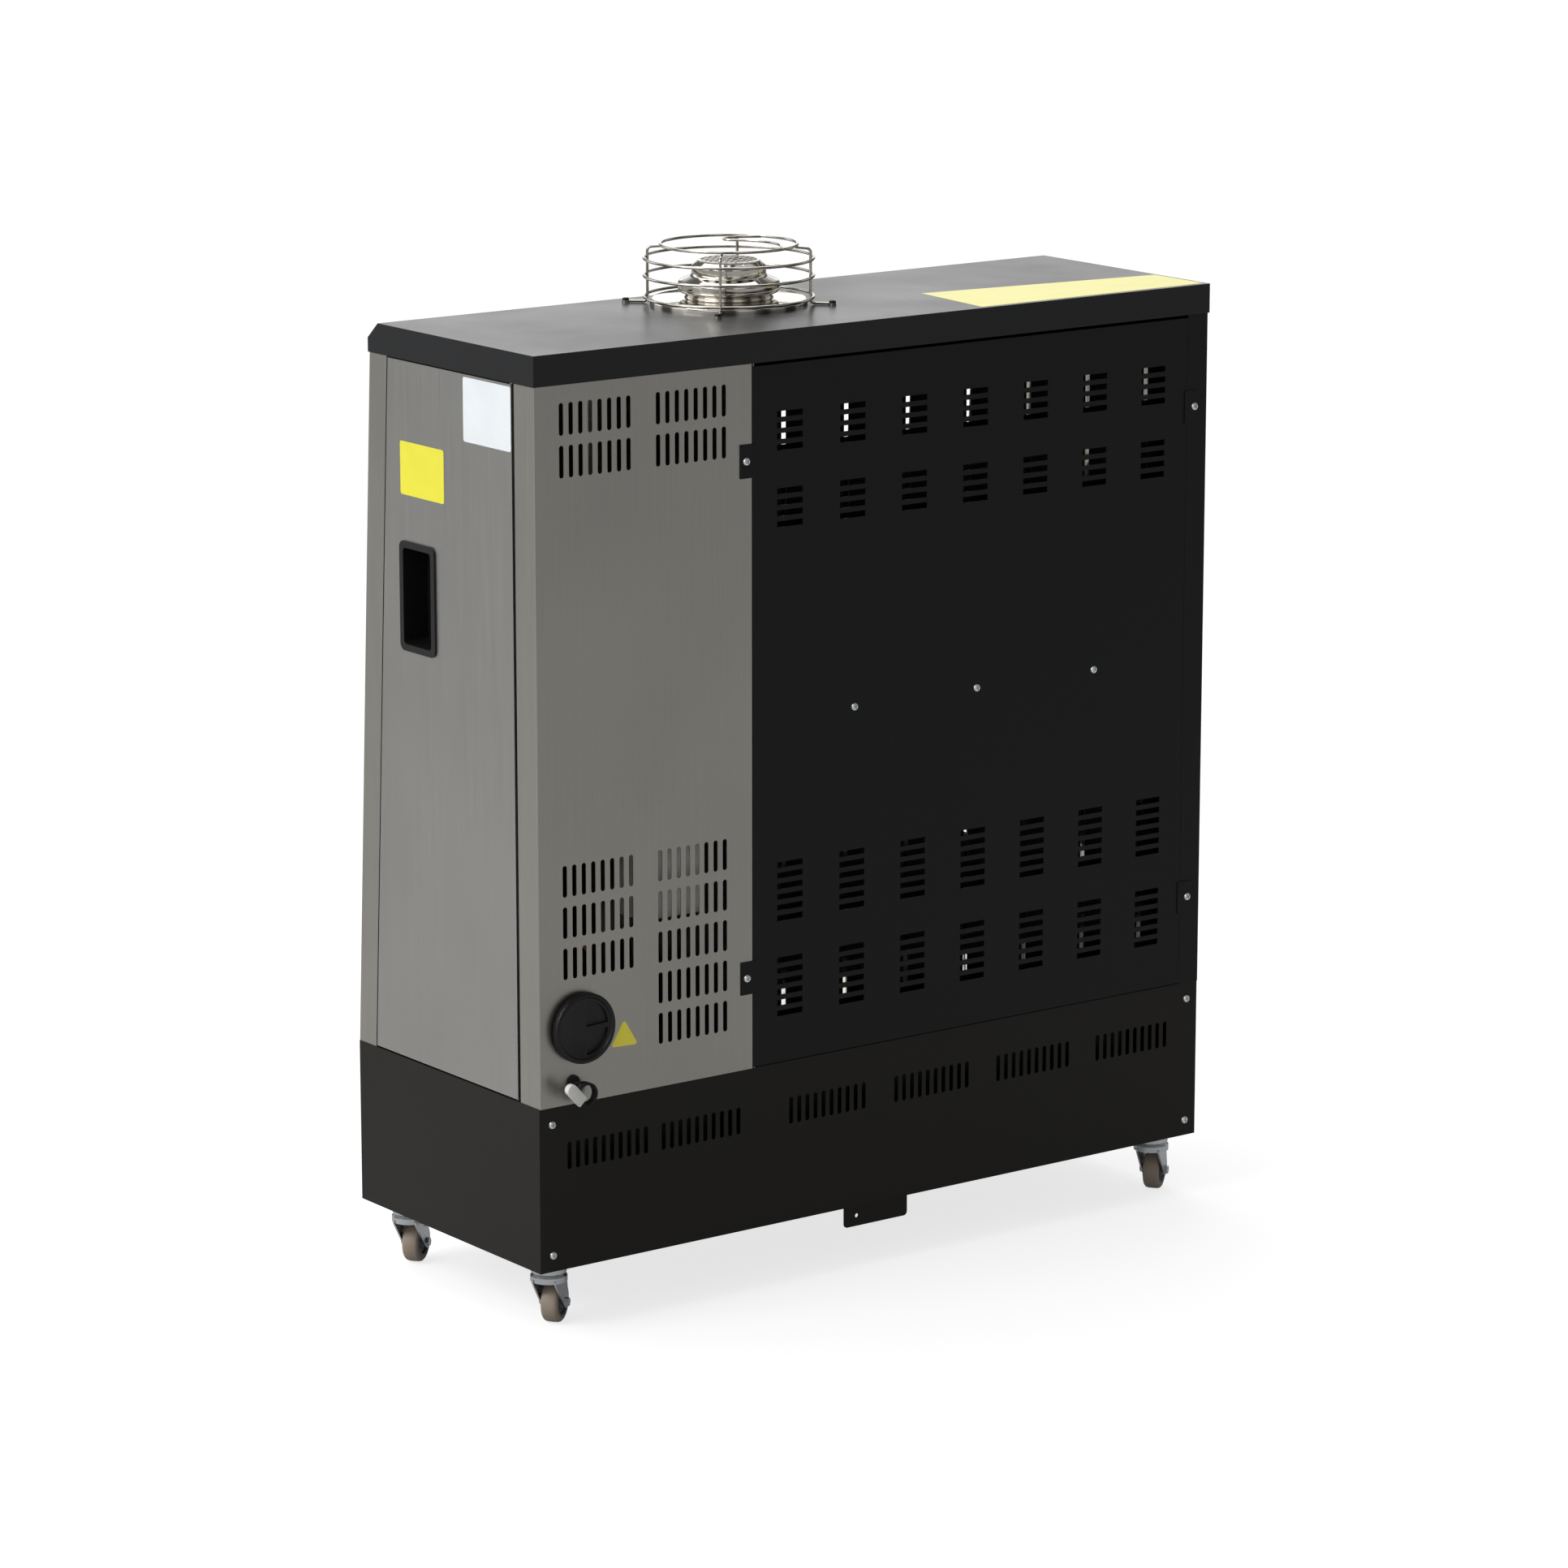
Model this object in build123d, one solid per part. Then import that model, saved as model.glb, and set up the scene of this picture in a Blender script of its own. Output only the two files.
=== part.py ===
from build123d import *
import math
import os

os.makedirs("parts", exist_ok=True)

# A cabinet heater on casters: +Z is up, the radiant front faces -Y, the
# burner compartment is at the +X end, and the origin is on the floor
# under the middle of the cabinet. All sizes are in millimetres.

# Driving sizes of the cabinet
LID_WIDTH = 1000.0
LID_DEPTH = 344.0
LID_HEIGHT = 36.0
LID_CHAMFER_Y = 22.0
LID_CHAMFER_Z = 19.0
LID_REAR_Y = 190.0
CASTER_HEIGHT = 80.0
BODY_HEIGHT = 880.0
BASE_WIDTH = 998.0
BASE_HEIGHT = 199.0
BASE_FRONT_Y = -198.0
BASE_REAR_Y = 186.8
SHEET = 1.2
PANEL_GAP = 0.4
TUCK = 12.0
COLUMN_WIDTH = 304.8
COVER_MARGIN = 31.6
FLANGE = 12.0

# Places that follow from them
HALF = LID_WIDTH / 2
LID_FRONT_Y = LID_REAR_Y - LID_DEPTH
BASE_Z = CASTER_HEIGHT
DECK_Z = BASE_Z + BASE_HEIGHT
LID_TOP_Z = DECK_Z + BODY_HEIGHT
RIM_Z = LID_TOP_Z - LID_HEIGHT
BASE_HALF = BASE_WIDTH / 2
BODY_HALF = HALF - SHEET - PANEL_GAP
SEAM_X = BODY_HALF - COLUMN_WIDTH
COVER_EDGE_X = COVER_MARGIN - BODY_HALF
BODY_REAR_Y = LID_REAR_Y - SHEET - PANEL_GAP
BODY_TOP_Z = RIM_Z + TUCK
FRONT_TOP_Y = LID_FRONT_Y + SHEET + PANEL_GAP
FRONT_SLOPE = (FRONT_TOP_Y - BASE_FRONT_Y) / (RIM_Z - DECK_Z)
FRONT_ANGLE = math.degrees(math.atan(FRONT_SLOPE))
FRONT_SKEW = 1 / math.cos(math.atan(FRONT_SLOPE))
FRONT_LENGTH = (RIM_Z - DECK_Z) * FRONT_SKEW

# Burner compartment
PARTITION_X = SEAM_X - 3 * SHEET
SIDE_FLANGE = 41.4
FRONT_FLANGE = 36.5
DOOR_GAP = 2.0
DOOR_REAR_GAP = 4.5
DOOR_FOLD = 13.0
DOOR_PIN_R = 3.0
PIN_CLEARANCE = 0.3
DOOR_REAR_Y = BODY_REAR_Y - SIDE_FLANGE - DOOR_REAR_GAP
DOOR_PIN_X = BODY_HALF - DOOR_FOLD / 2
DOOR_PIN_Y = DOOR_REAR_Y - DOOR_FOLD / 2
DOOR_BOTTOM_Z = DECK_Z + DOOR_GAP
DOOR_TOP_Z = RIM_Z - DOOR_GAP

# Handle cups in both ends
CUP_Y = -55.0
CUP_Z = DECK_Z + 564.5
CUP_WIDTH = 74.0
CUP_HEIGHT = 131.0
CUP_LIP = 6.0
CUP_BEZEL = 2.2
CUP_DEPTH = 34.0
CUP_WALL = 2.0
CUP_RADIUS = 9.0
CUP_CLEARANCE = 0.5

HEAT_LEFT_X = -BODY_HALF + CUP_DEPTH + 2.0

# Ventilation slots in the stainless column
VENT_PITCH = 13.3
VENT_WIDTH = 6.0
VENT_HEIGHT = 37.5
VENT_ROW_PITCH = 49.0
VENT_COUNT = 8
VENT_LEFT_X = BODY_HALF - 83.4
VENT_RIGHT_X = BODY_HALF - 217.9
VENT_TOP_Z = BODY_TOP_Z - 51.5
VENT_LOW_Z = DECK_Z + 266.5

# Slots in the base
BASE_SLOT_PITCH = 12.1
BASE_SLOT_WIDTH = 6.0
BASE_SLOT_HEIGHT = 33.0
BASE_SLOT_COUNT = 10
BASE_SLOT_Z = DECK_Z - 62.0
BASE_SLOT_XS = (402.5, 268.0, 81.0, -77.5, -235.5, -393.0)

# Louvres in the black rear cover
LOUVRE_COLUMNS = 7
LOUVRE_PITCH_X = 92.0
LOUVRE_FIRST_X = SEAM_X - 55.0
LOUVRE_WIDTH = 37.5
LOUVRE_HEIGHT = 7.0
LOUVRE_PITCH_Z = 13.0
LOUVRE_ROWS = ((RIM_Z - 59.5, 4), (RIM_Z - 150.3, 4), (DECK_Z + 246.0, 6), (DECK_Z + 129.7, 6))
COVER_BOTTOM_Z = DECK_Z + 1.5
COVER_TOP_Z = RIM_Z - 4.0
TAB_WIDTH = 18.0
TAB_HEIGHT = 40.0
TAB_LAP = 3.6
TAB_ZS = (RIM_Z - 113.7, DECK_Z + 111.8)
COVER_SCREW_XS = (43.8, -141.0, -323.2)
COVER_SCREW_Z = DECK_Z + 419.8

# Inner back plate
BACK_GAP = 31.0
BACK_SLOT_WIDTH = 7.0
BACK_SLOT_PITCH = 13.9
BACK_SLOTS = 3
BACK_PLATE_Y = BODY_REAR_Y - BACK_GAP
HEAT_TOP_Z = RIM_Z - 23.0
HEAT_FLOOR_Z = DECK_Z + 6.0

# Screws
SCREW_HEAD_R = 4.75
SCREW_HEAD_H = 3.0
SCREW_SHANK_R = 2.3
SCREW_HOLE_R = 2.6
SCREW_LENGTH = 8.0
SCREW_RECESS_R = 1.9
BASE_SCREW_X = BASE_HALF - 17.5
BASE_SCREW_ZS = (DECK_Z - 21.0, BASE_Z + 20.0)

# Flue outlet and its wire guard
FLUE_X = 76.0
FLUE_Y = -18.0
TUBE_R = 50.0
TUBE_WALL = 2.0
FLUE_HOLE_GAP = 2.0
DISC_R = 94.5
DISC_H = 8.0
DISH_R = 61.0
DISH_Z = 15.5
DISH_H = 13.0
COLLAR_R = 44.7
COLLAR_Z = 35.0
COLLAR_H = 12.0
GRATE_R = 34.0
GRATE_Z = 52.5
CHIMNEY_WALL = 1.2
GUARD_WIRE_R = 1.75
GUARD_RING_R = 101.3
GUARD_TOP_R = 81.8
GUARD_RING_ZS = (9.3, 34.6, 55.5)
GUARD_TOP_Z = 71.8
GUARD_ANGLE = 48.0
GUARD_POSTS = 4
GUARD_FOOT_R = 124.0

# Radiant heat exchanger
CHAMBER_R = 75.0
CHAMBER_Z = DECK_Z + 121.0
PASS_PITCH = 170.0
BEND_R = PASS_PITCH / 2
BEND_LEFT_X = -320.0
BEND_RIGHT_X = 40.0
CHAMBER_END_X = SEAM_X - 43.6
CHAMBER_CONE_X = -250.0
CHAMBER_FLANGE_R = 88.0
CHAMBER_FLANGE_T = 6.0
RISER_TOP_Z = LID_TOP_Z + 11.0

# Radiant front
FRAME_SIDE = 14.0
FRAME_FOOT = 42.0
FRAME_HEAD = 44.0
FRAME_DEPTH = 18.0
FRAME_LIFT = FRAME_DEPTH * FRONT_SLOPE + 0.1
WIRE_R = 1.6
WIRE_PITCH = 24.0
WIRE_BARS = 5
WIRE_SINK = 6.0

# Burner
BLAST_R = 45.0
BLAST_END_X = SEAM_X + 46.4
FAN_Y = -64.0
FAN_Z = CHAMBER_Z + 40.0
FAN_HOUSING_R = 90.0
FAN_HOUSING_X = 62.0
FAN_WALL = 2.5
FAN_R = 72.0
FAN_WIDTH = 42.0
FAN_BLADES = 20
FAN_BLADE_DEPTH = 13.0
FAN_SHAFT_R = 5.0
MOTOR_R = 45.0
MOTOR_LENGTH = 110.0
PUMP_SIZE = 52.0
PUMP_LENGTH = 34.0
BURNER_FLANGE_R = 70.0
BURNER_FLANGE_T = 6.0

# Ignition box, seen through the slots
IGNITION_X0 = SEAM_X + 64.4
IGNITION_X1 = IGNITION_X0 + 84.0
IGNITION_Y0 = 120.0
IGNITION_Y1 = BODY_REAR_Y - SHEET - FLANGE - 1.2
IGNITION_Z0 = DECK_Z + 199.0
IGNITION_Z1 = IGNITION_Z0 + 96.0

# Fuel system
TANK_X0 = 69.0 - BASE_HALF
TANK_X1 = BASE_HALF - 23.0
TANK_HALF_Y = 150.0
TANK_TOP_Z = DECK_Z - 21.0
TANK_WALL = 1.5
TANK_RADIUS = 22.0
CAP_X = BODY_HALF - 57.8
CAP_Z = DECK_Z + 90.4
CAP_R = 42.0
CAP_H = 9.0
CAP_WALL = 2.6
CAP_PLUG_R = 24.0
CAP_PLUG_L = 22.0
GASKET_T = 2.4
GASKET_R = 38.0
NECK_R = 30.0
NECK_WALL = 2.0
NECK_BEND_R = 70.0
NECK_RUN = 14.0
NECK_FLANGE_R = 40.0
NECK_FLANGE_T = 3.0
FILTER_X = SEAM_X + 146.4
FILTER_Y = 56.0
FILTER_R = 22.0
FILTER_Z0 = DECK_Z
FILTER_H = 66.0
PIPE_R = 4.0
PIPE_BEND = 16.0

# Control panel on the front of the column
PANEL_X = (SEAM_X + BODY_HALF) / 2
PANEL_V = 690.0
PANEL_WIDTH = 186.0
PANEL_HEIGHT = 112.0
PANEL_T = 8.0
PANEL_LIP = 7.0
WINDOW_WIDTH = 96.0
WINDOW_HEIGHT = 36.0
WINDOW_V = 22.0
BUTTON_WIDTH = 22.0
BUTTON_HEIGHT = 13.0
BUTTON_PITCH = 36.0
BUTTON_V = -28.0
BUTTON_TRAVEL = 1.2
BUTTON_PROUD = 2.4
BUTTON_CLEARANCE = 0.4
BOARD_DEPTH = 16.0

# Fuel gauge on the base
GAUGE_X = 346.0
GAUGE_Z = BASE_Z + 110.0
GAUGE_R = 27.0

# Drain guard under the rear edge
DRAIN_X = 5.5
DRAIN_WIDTH = 96.0
DRAIN_DROP = 26.0
DRAIN_T = 1.6

# Casters
WHEEL_R = 25.0
WHEEL_WIDTH = 22.7
TYRE_T = 7.0
AXLE_R = 3.0
TRAIL = 20.0
HEADING = math.degrees(math.atan2(0.594, 0.805))
FORK_T = 2.0
FORK_GAP = 1.6
CROWN_R = 22.0
CROWN_Z = 57.0
RACE_Z = 68.0
RACE_R = 21.0
PLATE_T = 2.5
PLATE_SIZE = 60.0
SWIVEL_GAP = 0.3
PEDAL_T = 1.6
PEDAL_PIVOT_X = -17.0
PEDAL_PIVOT_Z = 50.0
PEDAL_PIN_R = 2.0
KING_PIN_R = 4.0
CASTER_X = BASE_HALF - 38.0
CASTER_REAR_Y = 147.6
CASTER_FRONT_Y = -150.8

# Room temperature sensor on its lead
GROMMET_X = BODY_HALF - 45.9
GROMMET_Z = DECK_Z + 26.5
GROMMET_R = 6.0
LEAD_R = 1.5
LOOP_R = 13.0
LOOP_TURNS = 2
LOOP_STEPS = 8
LOOP_PITCH = 3.8
SENSOR_WIDTH = 14.0
SENSOR_LENGTH = 30.0
SENSOR_T = 8.0


def front_y(z):
    """The y of the leaning front at a height."""
    return BASE_FRONT_Y + (z - DECK_Z) * FRONT_SLOPE


def front_plane():
    """The leaning front: x along the heater, y up the slope, z outward."""
    lean = math.radians(FRONT_ANGLE)
    return Plane(
        origin=(0, BASE_FRONT_Y, DECK_Z),
        x_dir=(1, 0, 0),
        z_dir=(0, -math.cos(lean), math.sin(lean)),
    )


def block(x0, x1, y0, y1, z0, z1):
    """A box between two corners."""
    size = Box(x1 - x0, y1 - y0, z1 - z0)
    return Pos((x0 + x1) / 2, (y0 + y1) / 2, (z0 + z1) / 2) * size


def disc_y(x, z, y0, y1, radius):
    """A round bar along Y."""
    bar = Cylinder(radius, abs(y1 - y0))
    return Pos(x, (y0 + y1) / 2, z) * Rot(90, 0, 0) * bar


def disc_x(y, z, x0, x1, radius):
    """A round bar along X."""
    bar = Cylinder(radius, abs(x1 - x0))
    return Pos((x0 + x1) / 2, y, z) * Rot(0, 90, 0) * bar


def disc_z(x, y, z0, z1, radius):
    """A round bar along Z."""
    return Pos(x, y, (z0 + z1) / 2) * Cylinder(radius, abs(z1 - z0))


def side_prism(points, x0, x1):
    """A prism along X over a polygon of (y, z) points."""
    outline = Polyline(*[(x0, y, z) for y, z in points], close=True)
    return extrude(make_face(outline), amount=x1 - x0, dir=(1, 0, 0))


def on_front(u, v, w0, w1, width, height, radius=0.0):
    """A plate on the leaning front, from w0 to w1 outward."""
    outline = RectangleRounded(width, height, radius) if radius else Rectangle(width, height)
    return front_plane() * Pos(u, v, w0) * extrude(outline, amount=w1 - w0)


def slot_grid(xs, zs, width, height, y0, y1):
    """Upright slots cut along Y, one at each x and z."""
    return [block(x - width / 2, x + width / 2, y0, y1, z - height / 2, z + height / 2)
            for x in xs for z in zs]


def spread(centre, pitch, count):
    """Evenly spaced places about a centre."""
    return [centre + (i - (count - 1) / 2) * pitch for i in range(count)]


def keep(name, shape):
    """Write one named piece."""
    solids = [shape] if isinstance(shape, (Solid, Part)) else list(shape)
    piece = Compound(children=[s for item in solids for s in item.solids()])
    piece.label = name
    export_step(piece, f"parts/{name}.step")


def base_pan():
    """Chassis tray with upturned edges, which carries the casters and tank."""
    inset = SHEET + PANEL_GAP
    x1 = BASE_HALF - inset
    y0 = BASE_FRONT_Y + inset
    y1 = BASE_REAR_Y - 3 * SHEET
    tray = block(-x1, x1, y0, y1, BASE_Z, BASE_Z + 2 * FLANGE)
    t = 2 * SHEET
    tray -= block(-x1 + t, x1 - t, y0 + t, y1 - t, BASE_Z + t, BASE_Z + 3 * FLANGE)
    for side in (-1, 1):
        tray -= disc_y(side * BASE_SCREW_X, BASE_SCREW_ZS[1], y1 - FLANGE, y1 + 1, SCREW_HOLE_R)
    return tray


def base_skirt():
    """Front and end walls of the base in one folded sheet."""
    top = DECK_Z - SHEET
    rear = BASE_REAR_Y - SHEET
    wall = block(-BASE_HALF, BASE_HALF, BASE_FRONT_Y, rear, BASE_Z, top)
    room = block(-BASE_HALF + SHEET, BASE_HALF - SHEET, BASE_FRONT_Y + SHEET, rear + 1, 0, top + 1)
    skirt = wall - room
    lug = 2 * (BASE_HALF - BASE_SCREW_X)
    for side in (-1, 1):
        x = side * (BASE_HALF - lug / 2)
        skirt += block(x - lug / 2, x + lug / 2, rear - SHEET, rear, BASE_Z + 3 * FLANGE, top)
        for z in BASE_SCREW_ZS:
            skirt -= disc_y(side * BASE_SCREW_X, z, rear - FLANGE, rear + FLANGE, SCREW_HOLE_R)
    return skirt - disc_y(GAUGE_X, GAUGE_Z, BASE_FRONT_Y - 1, BASE_FRONT_Y + FLANGE, GAUGE_R - 3)


def base_rear_panel():
    """Slotted rear wall of the base."""
    y0 = BASE_REAR_Y - SHEET
    panel = block(-BASE_HALF, BASE_HALF, y0, BASE_REAR_Y, BASE_Z, DECK_Z - SHEET)
    cuts = []
    for group in BASE_SLOT_XS:
        xs = spread(group, BASE_SLOT_PITCH, BASE_SLOT_COUNT)
        cuts += slot_grid(xs, [BASE_SLOT_Z], BASE_SLOT_WIDTH, BASE_SLOT_HEIGHT, y0 - 1, BASE_REAR_Y + 1)
    for side in (-1, 1):
        for z in BASE_SCREW_ZS:
            cuts.append(disc_y(side * BASE_SCREW_X, z, y0 - 1, BASE_REAR_Y + 1, SCREW_HOLE_R))
    return panel - cuts


def base_deck():
    """Sheet that closes the base and carries the cabinet."""
    deck = block(-BASE_HALF, BASE_HALF, BASE_FRONT_Y, BASE_REAR_Y, DECK_Z - SHEET, DECK_Z)
    neck_y = neck_end_y()
    deck -= disc_z(CAP_X, neck_y, DECK_Z - FLANGE, DECK_Z + 1, NECK_R + 2 * PANEL_GAP)
    return deck - disc_z(FILTER_X, FILTER_Y, DECK_Z - FLANGE, DECK_Z + 1, PIPE_R + PANEL_GAP)


def fuel_tank():
    """Welded tank with rounded edges, on the chassis tray."""
    floor = BASE_Z + 2 * SHEET
    outer = block(TANK_X0, TANK_X1, -TANK_HALF_Y, TANK_HALF_Y, floor, TANK_TOP_Z)
    outer = fillet(outer.edges().filter_by(Axis.Z), TANK_RADIUS)
    w = TANK_WALL
    inner = block(TANK_X0 + w, TANK_X1 - w, -TANK_HALF_Y + w, TANK_HALF_Y - w, floor + w, TANK_TOP_Z - w)
    inner = fillet(inner.edges().filter_by(Axis.Z), TANK_RADIUS - w)
    tank = outer - inner
    seam_z = (floor + TANK_TOP_Z) / 2
    rim = FLANGE - PANEL_GAP
    seam = block(TANK_X0 - rim, TANK_X1 + rim, -TANK_HALF_Y - rim, TANK_HALF_Y + rim, seam_z - 1, seam_z + 1)
    seam = fillet(seam.edges().filter_by(Axis.Z), TANK_RADIUS + rim)
    tank += seam - outer
    neck_y = neck_end_y()
    tank -= disc_z(CAP_X, neck_y, TANK_TOP_Z - FLANGE, TANK_TOP_Z + 1, NECK_R - NECK_WALL)
    return tank - disc_z(FILTER_X, FILTER_Y, TANK_TOP_Z - FLANGE, TANK_TOP_Z + 1, PIPE_R / 2)


def neck_end_y():
    """Where the filler neck stands on the tank."""
    return BODY_REAR_Y - SHEET - NECK_FLANGE_T - NECK_RUN - NECK_BEND_R


def filler_neck():
    """Bent filler pipe from the rear panel down to the tank."""
    y1 = BODY_REAR_Y - SHEET
    y0 = neck_end_y()
    start = (CAP_X, y1, CAP_Z)
    corner = (CAP_X, y0, CAP_Z)
    end = (CAP_X, y0, TANK_TOP_Z)
    path = FilletPolyline(start, corner, end, radius=NECK_BEND_R)
    mouth = Plane(origin=start, x_dir=(1, 0, 0), z_dir=(0, -1, 0))
    outer = sweep(mouth * Circle(NECK_R), path=path)
    inner = sweep(mouth * Circle(NECK_R - NECK_WALL), path=path)
    flange = disc_y(CAP_X, CAP_Z, y1 - NECK_FLANGE_T, y1, NECK_FLANGE_R)
    foot = disc_z(CAP_X, y0, TANK_TOP_Z, TANK_TOP_Z + NECK_FLANGE_T, NECK_FLANGE_R)
    return outer + flange + foot - inner


def fuel_cap():
    """Dished screw cap with a finger well on one side of its bar."""
    y0 = BODY_REAR_Y + GASKET_T
    y1 = y0 + CAP_H
    profile = Polyline(
        (0, 0), (CAP_R, 0), (CAP_R, CAP_H - 3), (CAP_R - 2, CAP_H), (CAP_R - 7, CAP_H),
        (CAP_R - 9, CAP_H - 2), (0, CAP_H - 2), close=True)
    turned = revolve(Plane.XZ * make_face(profile), Axis.Z)
    head = Pos(CAP_X, y0, CAP_Z) * Rot(-90, 0, 0) * turned
    well_r = CAP_R - 12
    well = disc_y(CAP_X, CAP_Z, y0 + CAP_WALL, y1 + 1, well_r)
    half = block(CAP_X - well_r, CAP_X, y0, y1 + 1, CAP_Z - well_r, CAP_Z + well_r)
    bar = 2.5
    rib = block(CAP_X - well_r, CAP_X, y0, y1 - 3, CAP_Z - bar / 2, CAP_Z + bar / 2)
    head -= (well & half) - rib
    plug = disc_y(CAP_X, CAP_Z, y0 - CAP_PLUG_L, y0, CAP_PLUG_R)
    plug -= disc_y(CAP_X, CAP_Z, y0 - CAP_PLUG_L - 1, y0 - CAP_WALL, CAP_PLUG_R - CAP_WALL)
    return head + plug


def cap_gasket():
    """Rubber ring between the cap and the panel."""
    ring = disc_y(CAP_X, CAP_Z, BODY_REAR_Y, BODY_REAR_Y + GASKET_T, GASKET_R)
    return ring - disc_y(CAP_X, CAP_Z, BODY_REAR_Y - 1, BODY_REAR_Y + GASKET_T + 1, CAP_PLUG_R + PANEL_GAP)


def drain_guard():
    """Folded plate that shields the tank drain under the rear edge."""
    y1 = BASE_REAR_Y - 2 * SHEET - PANEL_GAP
    x0 = DRAIN_X - DRAIN_WIDTH / 2
    x1 = DRAIN_X + DRAIN_WIDTH / 2
    plate = block(x0, x1, y1 - DRAIN_T, y1, BASE_Z - DRAIN_DROP, BASE_Z)
    plate = fillet(plate.edges().filter_by(Axis.Y).group_by(Axis.Z)[0], 5)
    shelf = block(x0, x1, y1 - 3 * FLANGE, y1, BASE_Z - DRAIN_T, BASE_Z)
    ear = block(x0, x0 + DRAIN_T, y1 - 2 * FLANGE, y1, BASE_Z - DRAIN_DROP + 5, BASE_Z)
    hole = disc_y(x0 + DRAIN_WIDTH * 0.8, BASE_Z - DRAIN_DROP / 2, y1 - FLANGE, y1 + 1, SCREW_HOLE_R)
    return plate + shelf + ear - hole


def fuel_gauge():
    """Round level gauge in the front wall of the base."""
    y0 = BASE_FRONT_Y
    bezel = disc_y(GAUGE_X, GAUGE_Z, y0 - 2.5, y0, GAUGE_R)
    bezel -= disc_y(GAUGE_X, GAUGE_Z, y0 - 3, y0 - 1, GAUGE_R - 4)
    body = disc_y(GAUGE_X, GAUGE_Z, y0, y0 + 30, GAUGE_R - 3 - PANEL_GAP)
    needle = block(GAUGE_X - 1, GAUGE_X + 1, y0 - 1.8, y0 - 0.9, GAUGE_Z - 4, GAUGE_Z + 16)
    return bezel + body + needle


def louvre_xs():
    return [LOUVRE_FIRST_X - i * LOUVRE_PITCH_X for i in range(LOUVRE_COLUMNS)]


def tab_xs():
    """Tab screw places: over the column's seam and over the end panel."""
    return (SEAM_X + TAB_WIDTH / 2 + 0.5, COVER_EDGE_X - TAB_WIDTH / 2 - 2)


def rear_cover():
    """Black cover with louvres, four screw tabs and folded edges."""
    x0 = COVER_EDGE_X
    x1 = SEAM_X - PANEL_GAP
    y1 = BODY_REAR_Y
    y0 = y1 - SHEET
    cover = block(x0, x1, y0 - FLANGE, y1, COVER_BOTTOM_Z, COVER_TOP_Z)
    cover -= block(x0 + SHEET, PARTITION_X + PANEL_GAP, y0 - 2 * FLANGE, y0,
                   COVER_BOTTOM_Z + SHEET, COVER_TOP_Z - SHEET)
    cover -= block(PARTITION_X - PANEL_GAP, x1 + 1, y0 - 2 * FLANGE, y0, COVER_BOTTOM_Z - 1, COVER_TOP_Z + 1)
    cuts = []
    for top, count in LOUVRE_ROWS:
        for x in louvre_xs():
            for i in range(count):
                z = top - LOUVRE_HEIGHT / 2 - i * LOUVRE_PITCH_Z
                cuts.append(block(x - LOUVRE_WIDTH / 2, x + LOUVRE_WIDTH / 2, y0 - 1, y1 + 1,
                                  z - LOUVRE_HEIGHT / 2, z + LOUVRE_HEIGHT / 2))
    for x in COVER_SCREW_XS:
        cuts.append(disc_y(x, COVER_SCREW_Z, y0 - 1, y1 + 1, SCREW_HOLE_R))
    cover -= cuts
    left, right = tab_xs()
    for z in TAB_ZS:
        for x, edge, way in ((left, x1, 1), (right, x0, -1)):
            a = edge - way * TAB_LAP
            b = edge + way * TAB_WIDTH
            low, high = min(a, b), max(a, b)
            tab = block(low, high, y1, y1 + SHEET, z - TAB_HEIGHT / 2, z + TAB_HEIGHT / 2)
            cover += tab - disc_y(x, z, y1 - 1, y1 + 2 * SHEET, SCREW_HOLE_R)
    return cover


def inner_back_plate():
    """Bright plate behind the cover, with upright slots behind each louvre group."""
    x0 = HEAT_LEFT_X
    x1 = PARTITION_X
    plate = block(x0, x1, BACK_PLATE_Y - SHEET, BACK_PLATE_Y, HEAT_FLOOR_Z, HEAT_TOP_Z)
    cuts = []
    for top, count in LOUVRE_ROWS:
        height = (count - 1) * LOUVRE_PITCH_Z + LOUVRE_HEIGHT
        for x in louvre_xs():
            xs = spread(x, BACK_SLOT_PITCH, BACK_SLOTS)
            z = top - height / 2
            cuts += slot_grid(xs, [z], BACK_SLOT_WIDTH, height, BACK_PLATE_Y - FLANGE, BACK_PLATE_Y + 1)
    plate -= cuts
    for x in COVER_SCREW_XS:
        plate += disc_y(x, COVER_SCREW_Z, BACK_PLATE_Y, BODY_REAR_Y - SHEET, 2 * SCREW_SHANK_R)
        plate -= disc_y(x, COVER_SCREW_Z, BODY_REAR_Y - 2 * FLANGE, BODY_REAR_Y, SCREW_HOLE_R)
    return plate


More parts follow.
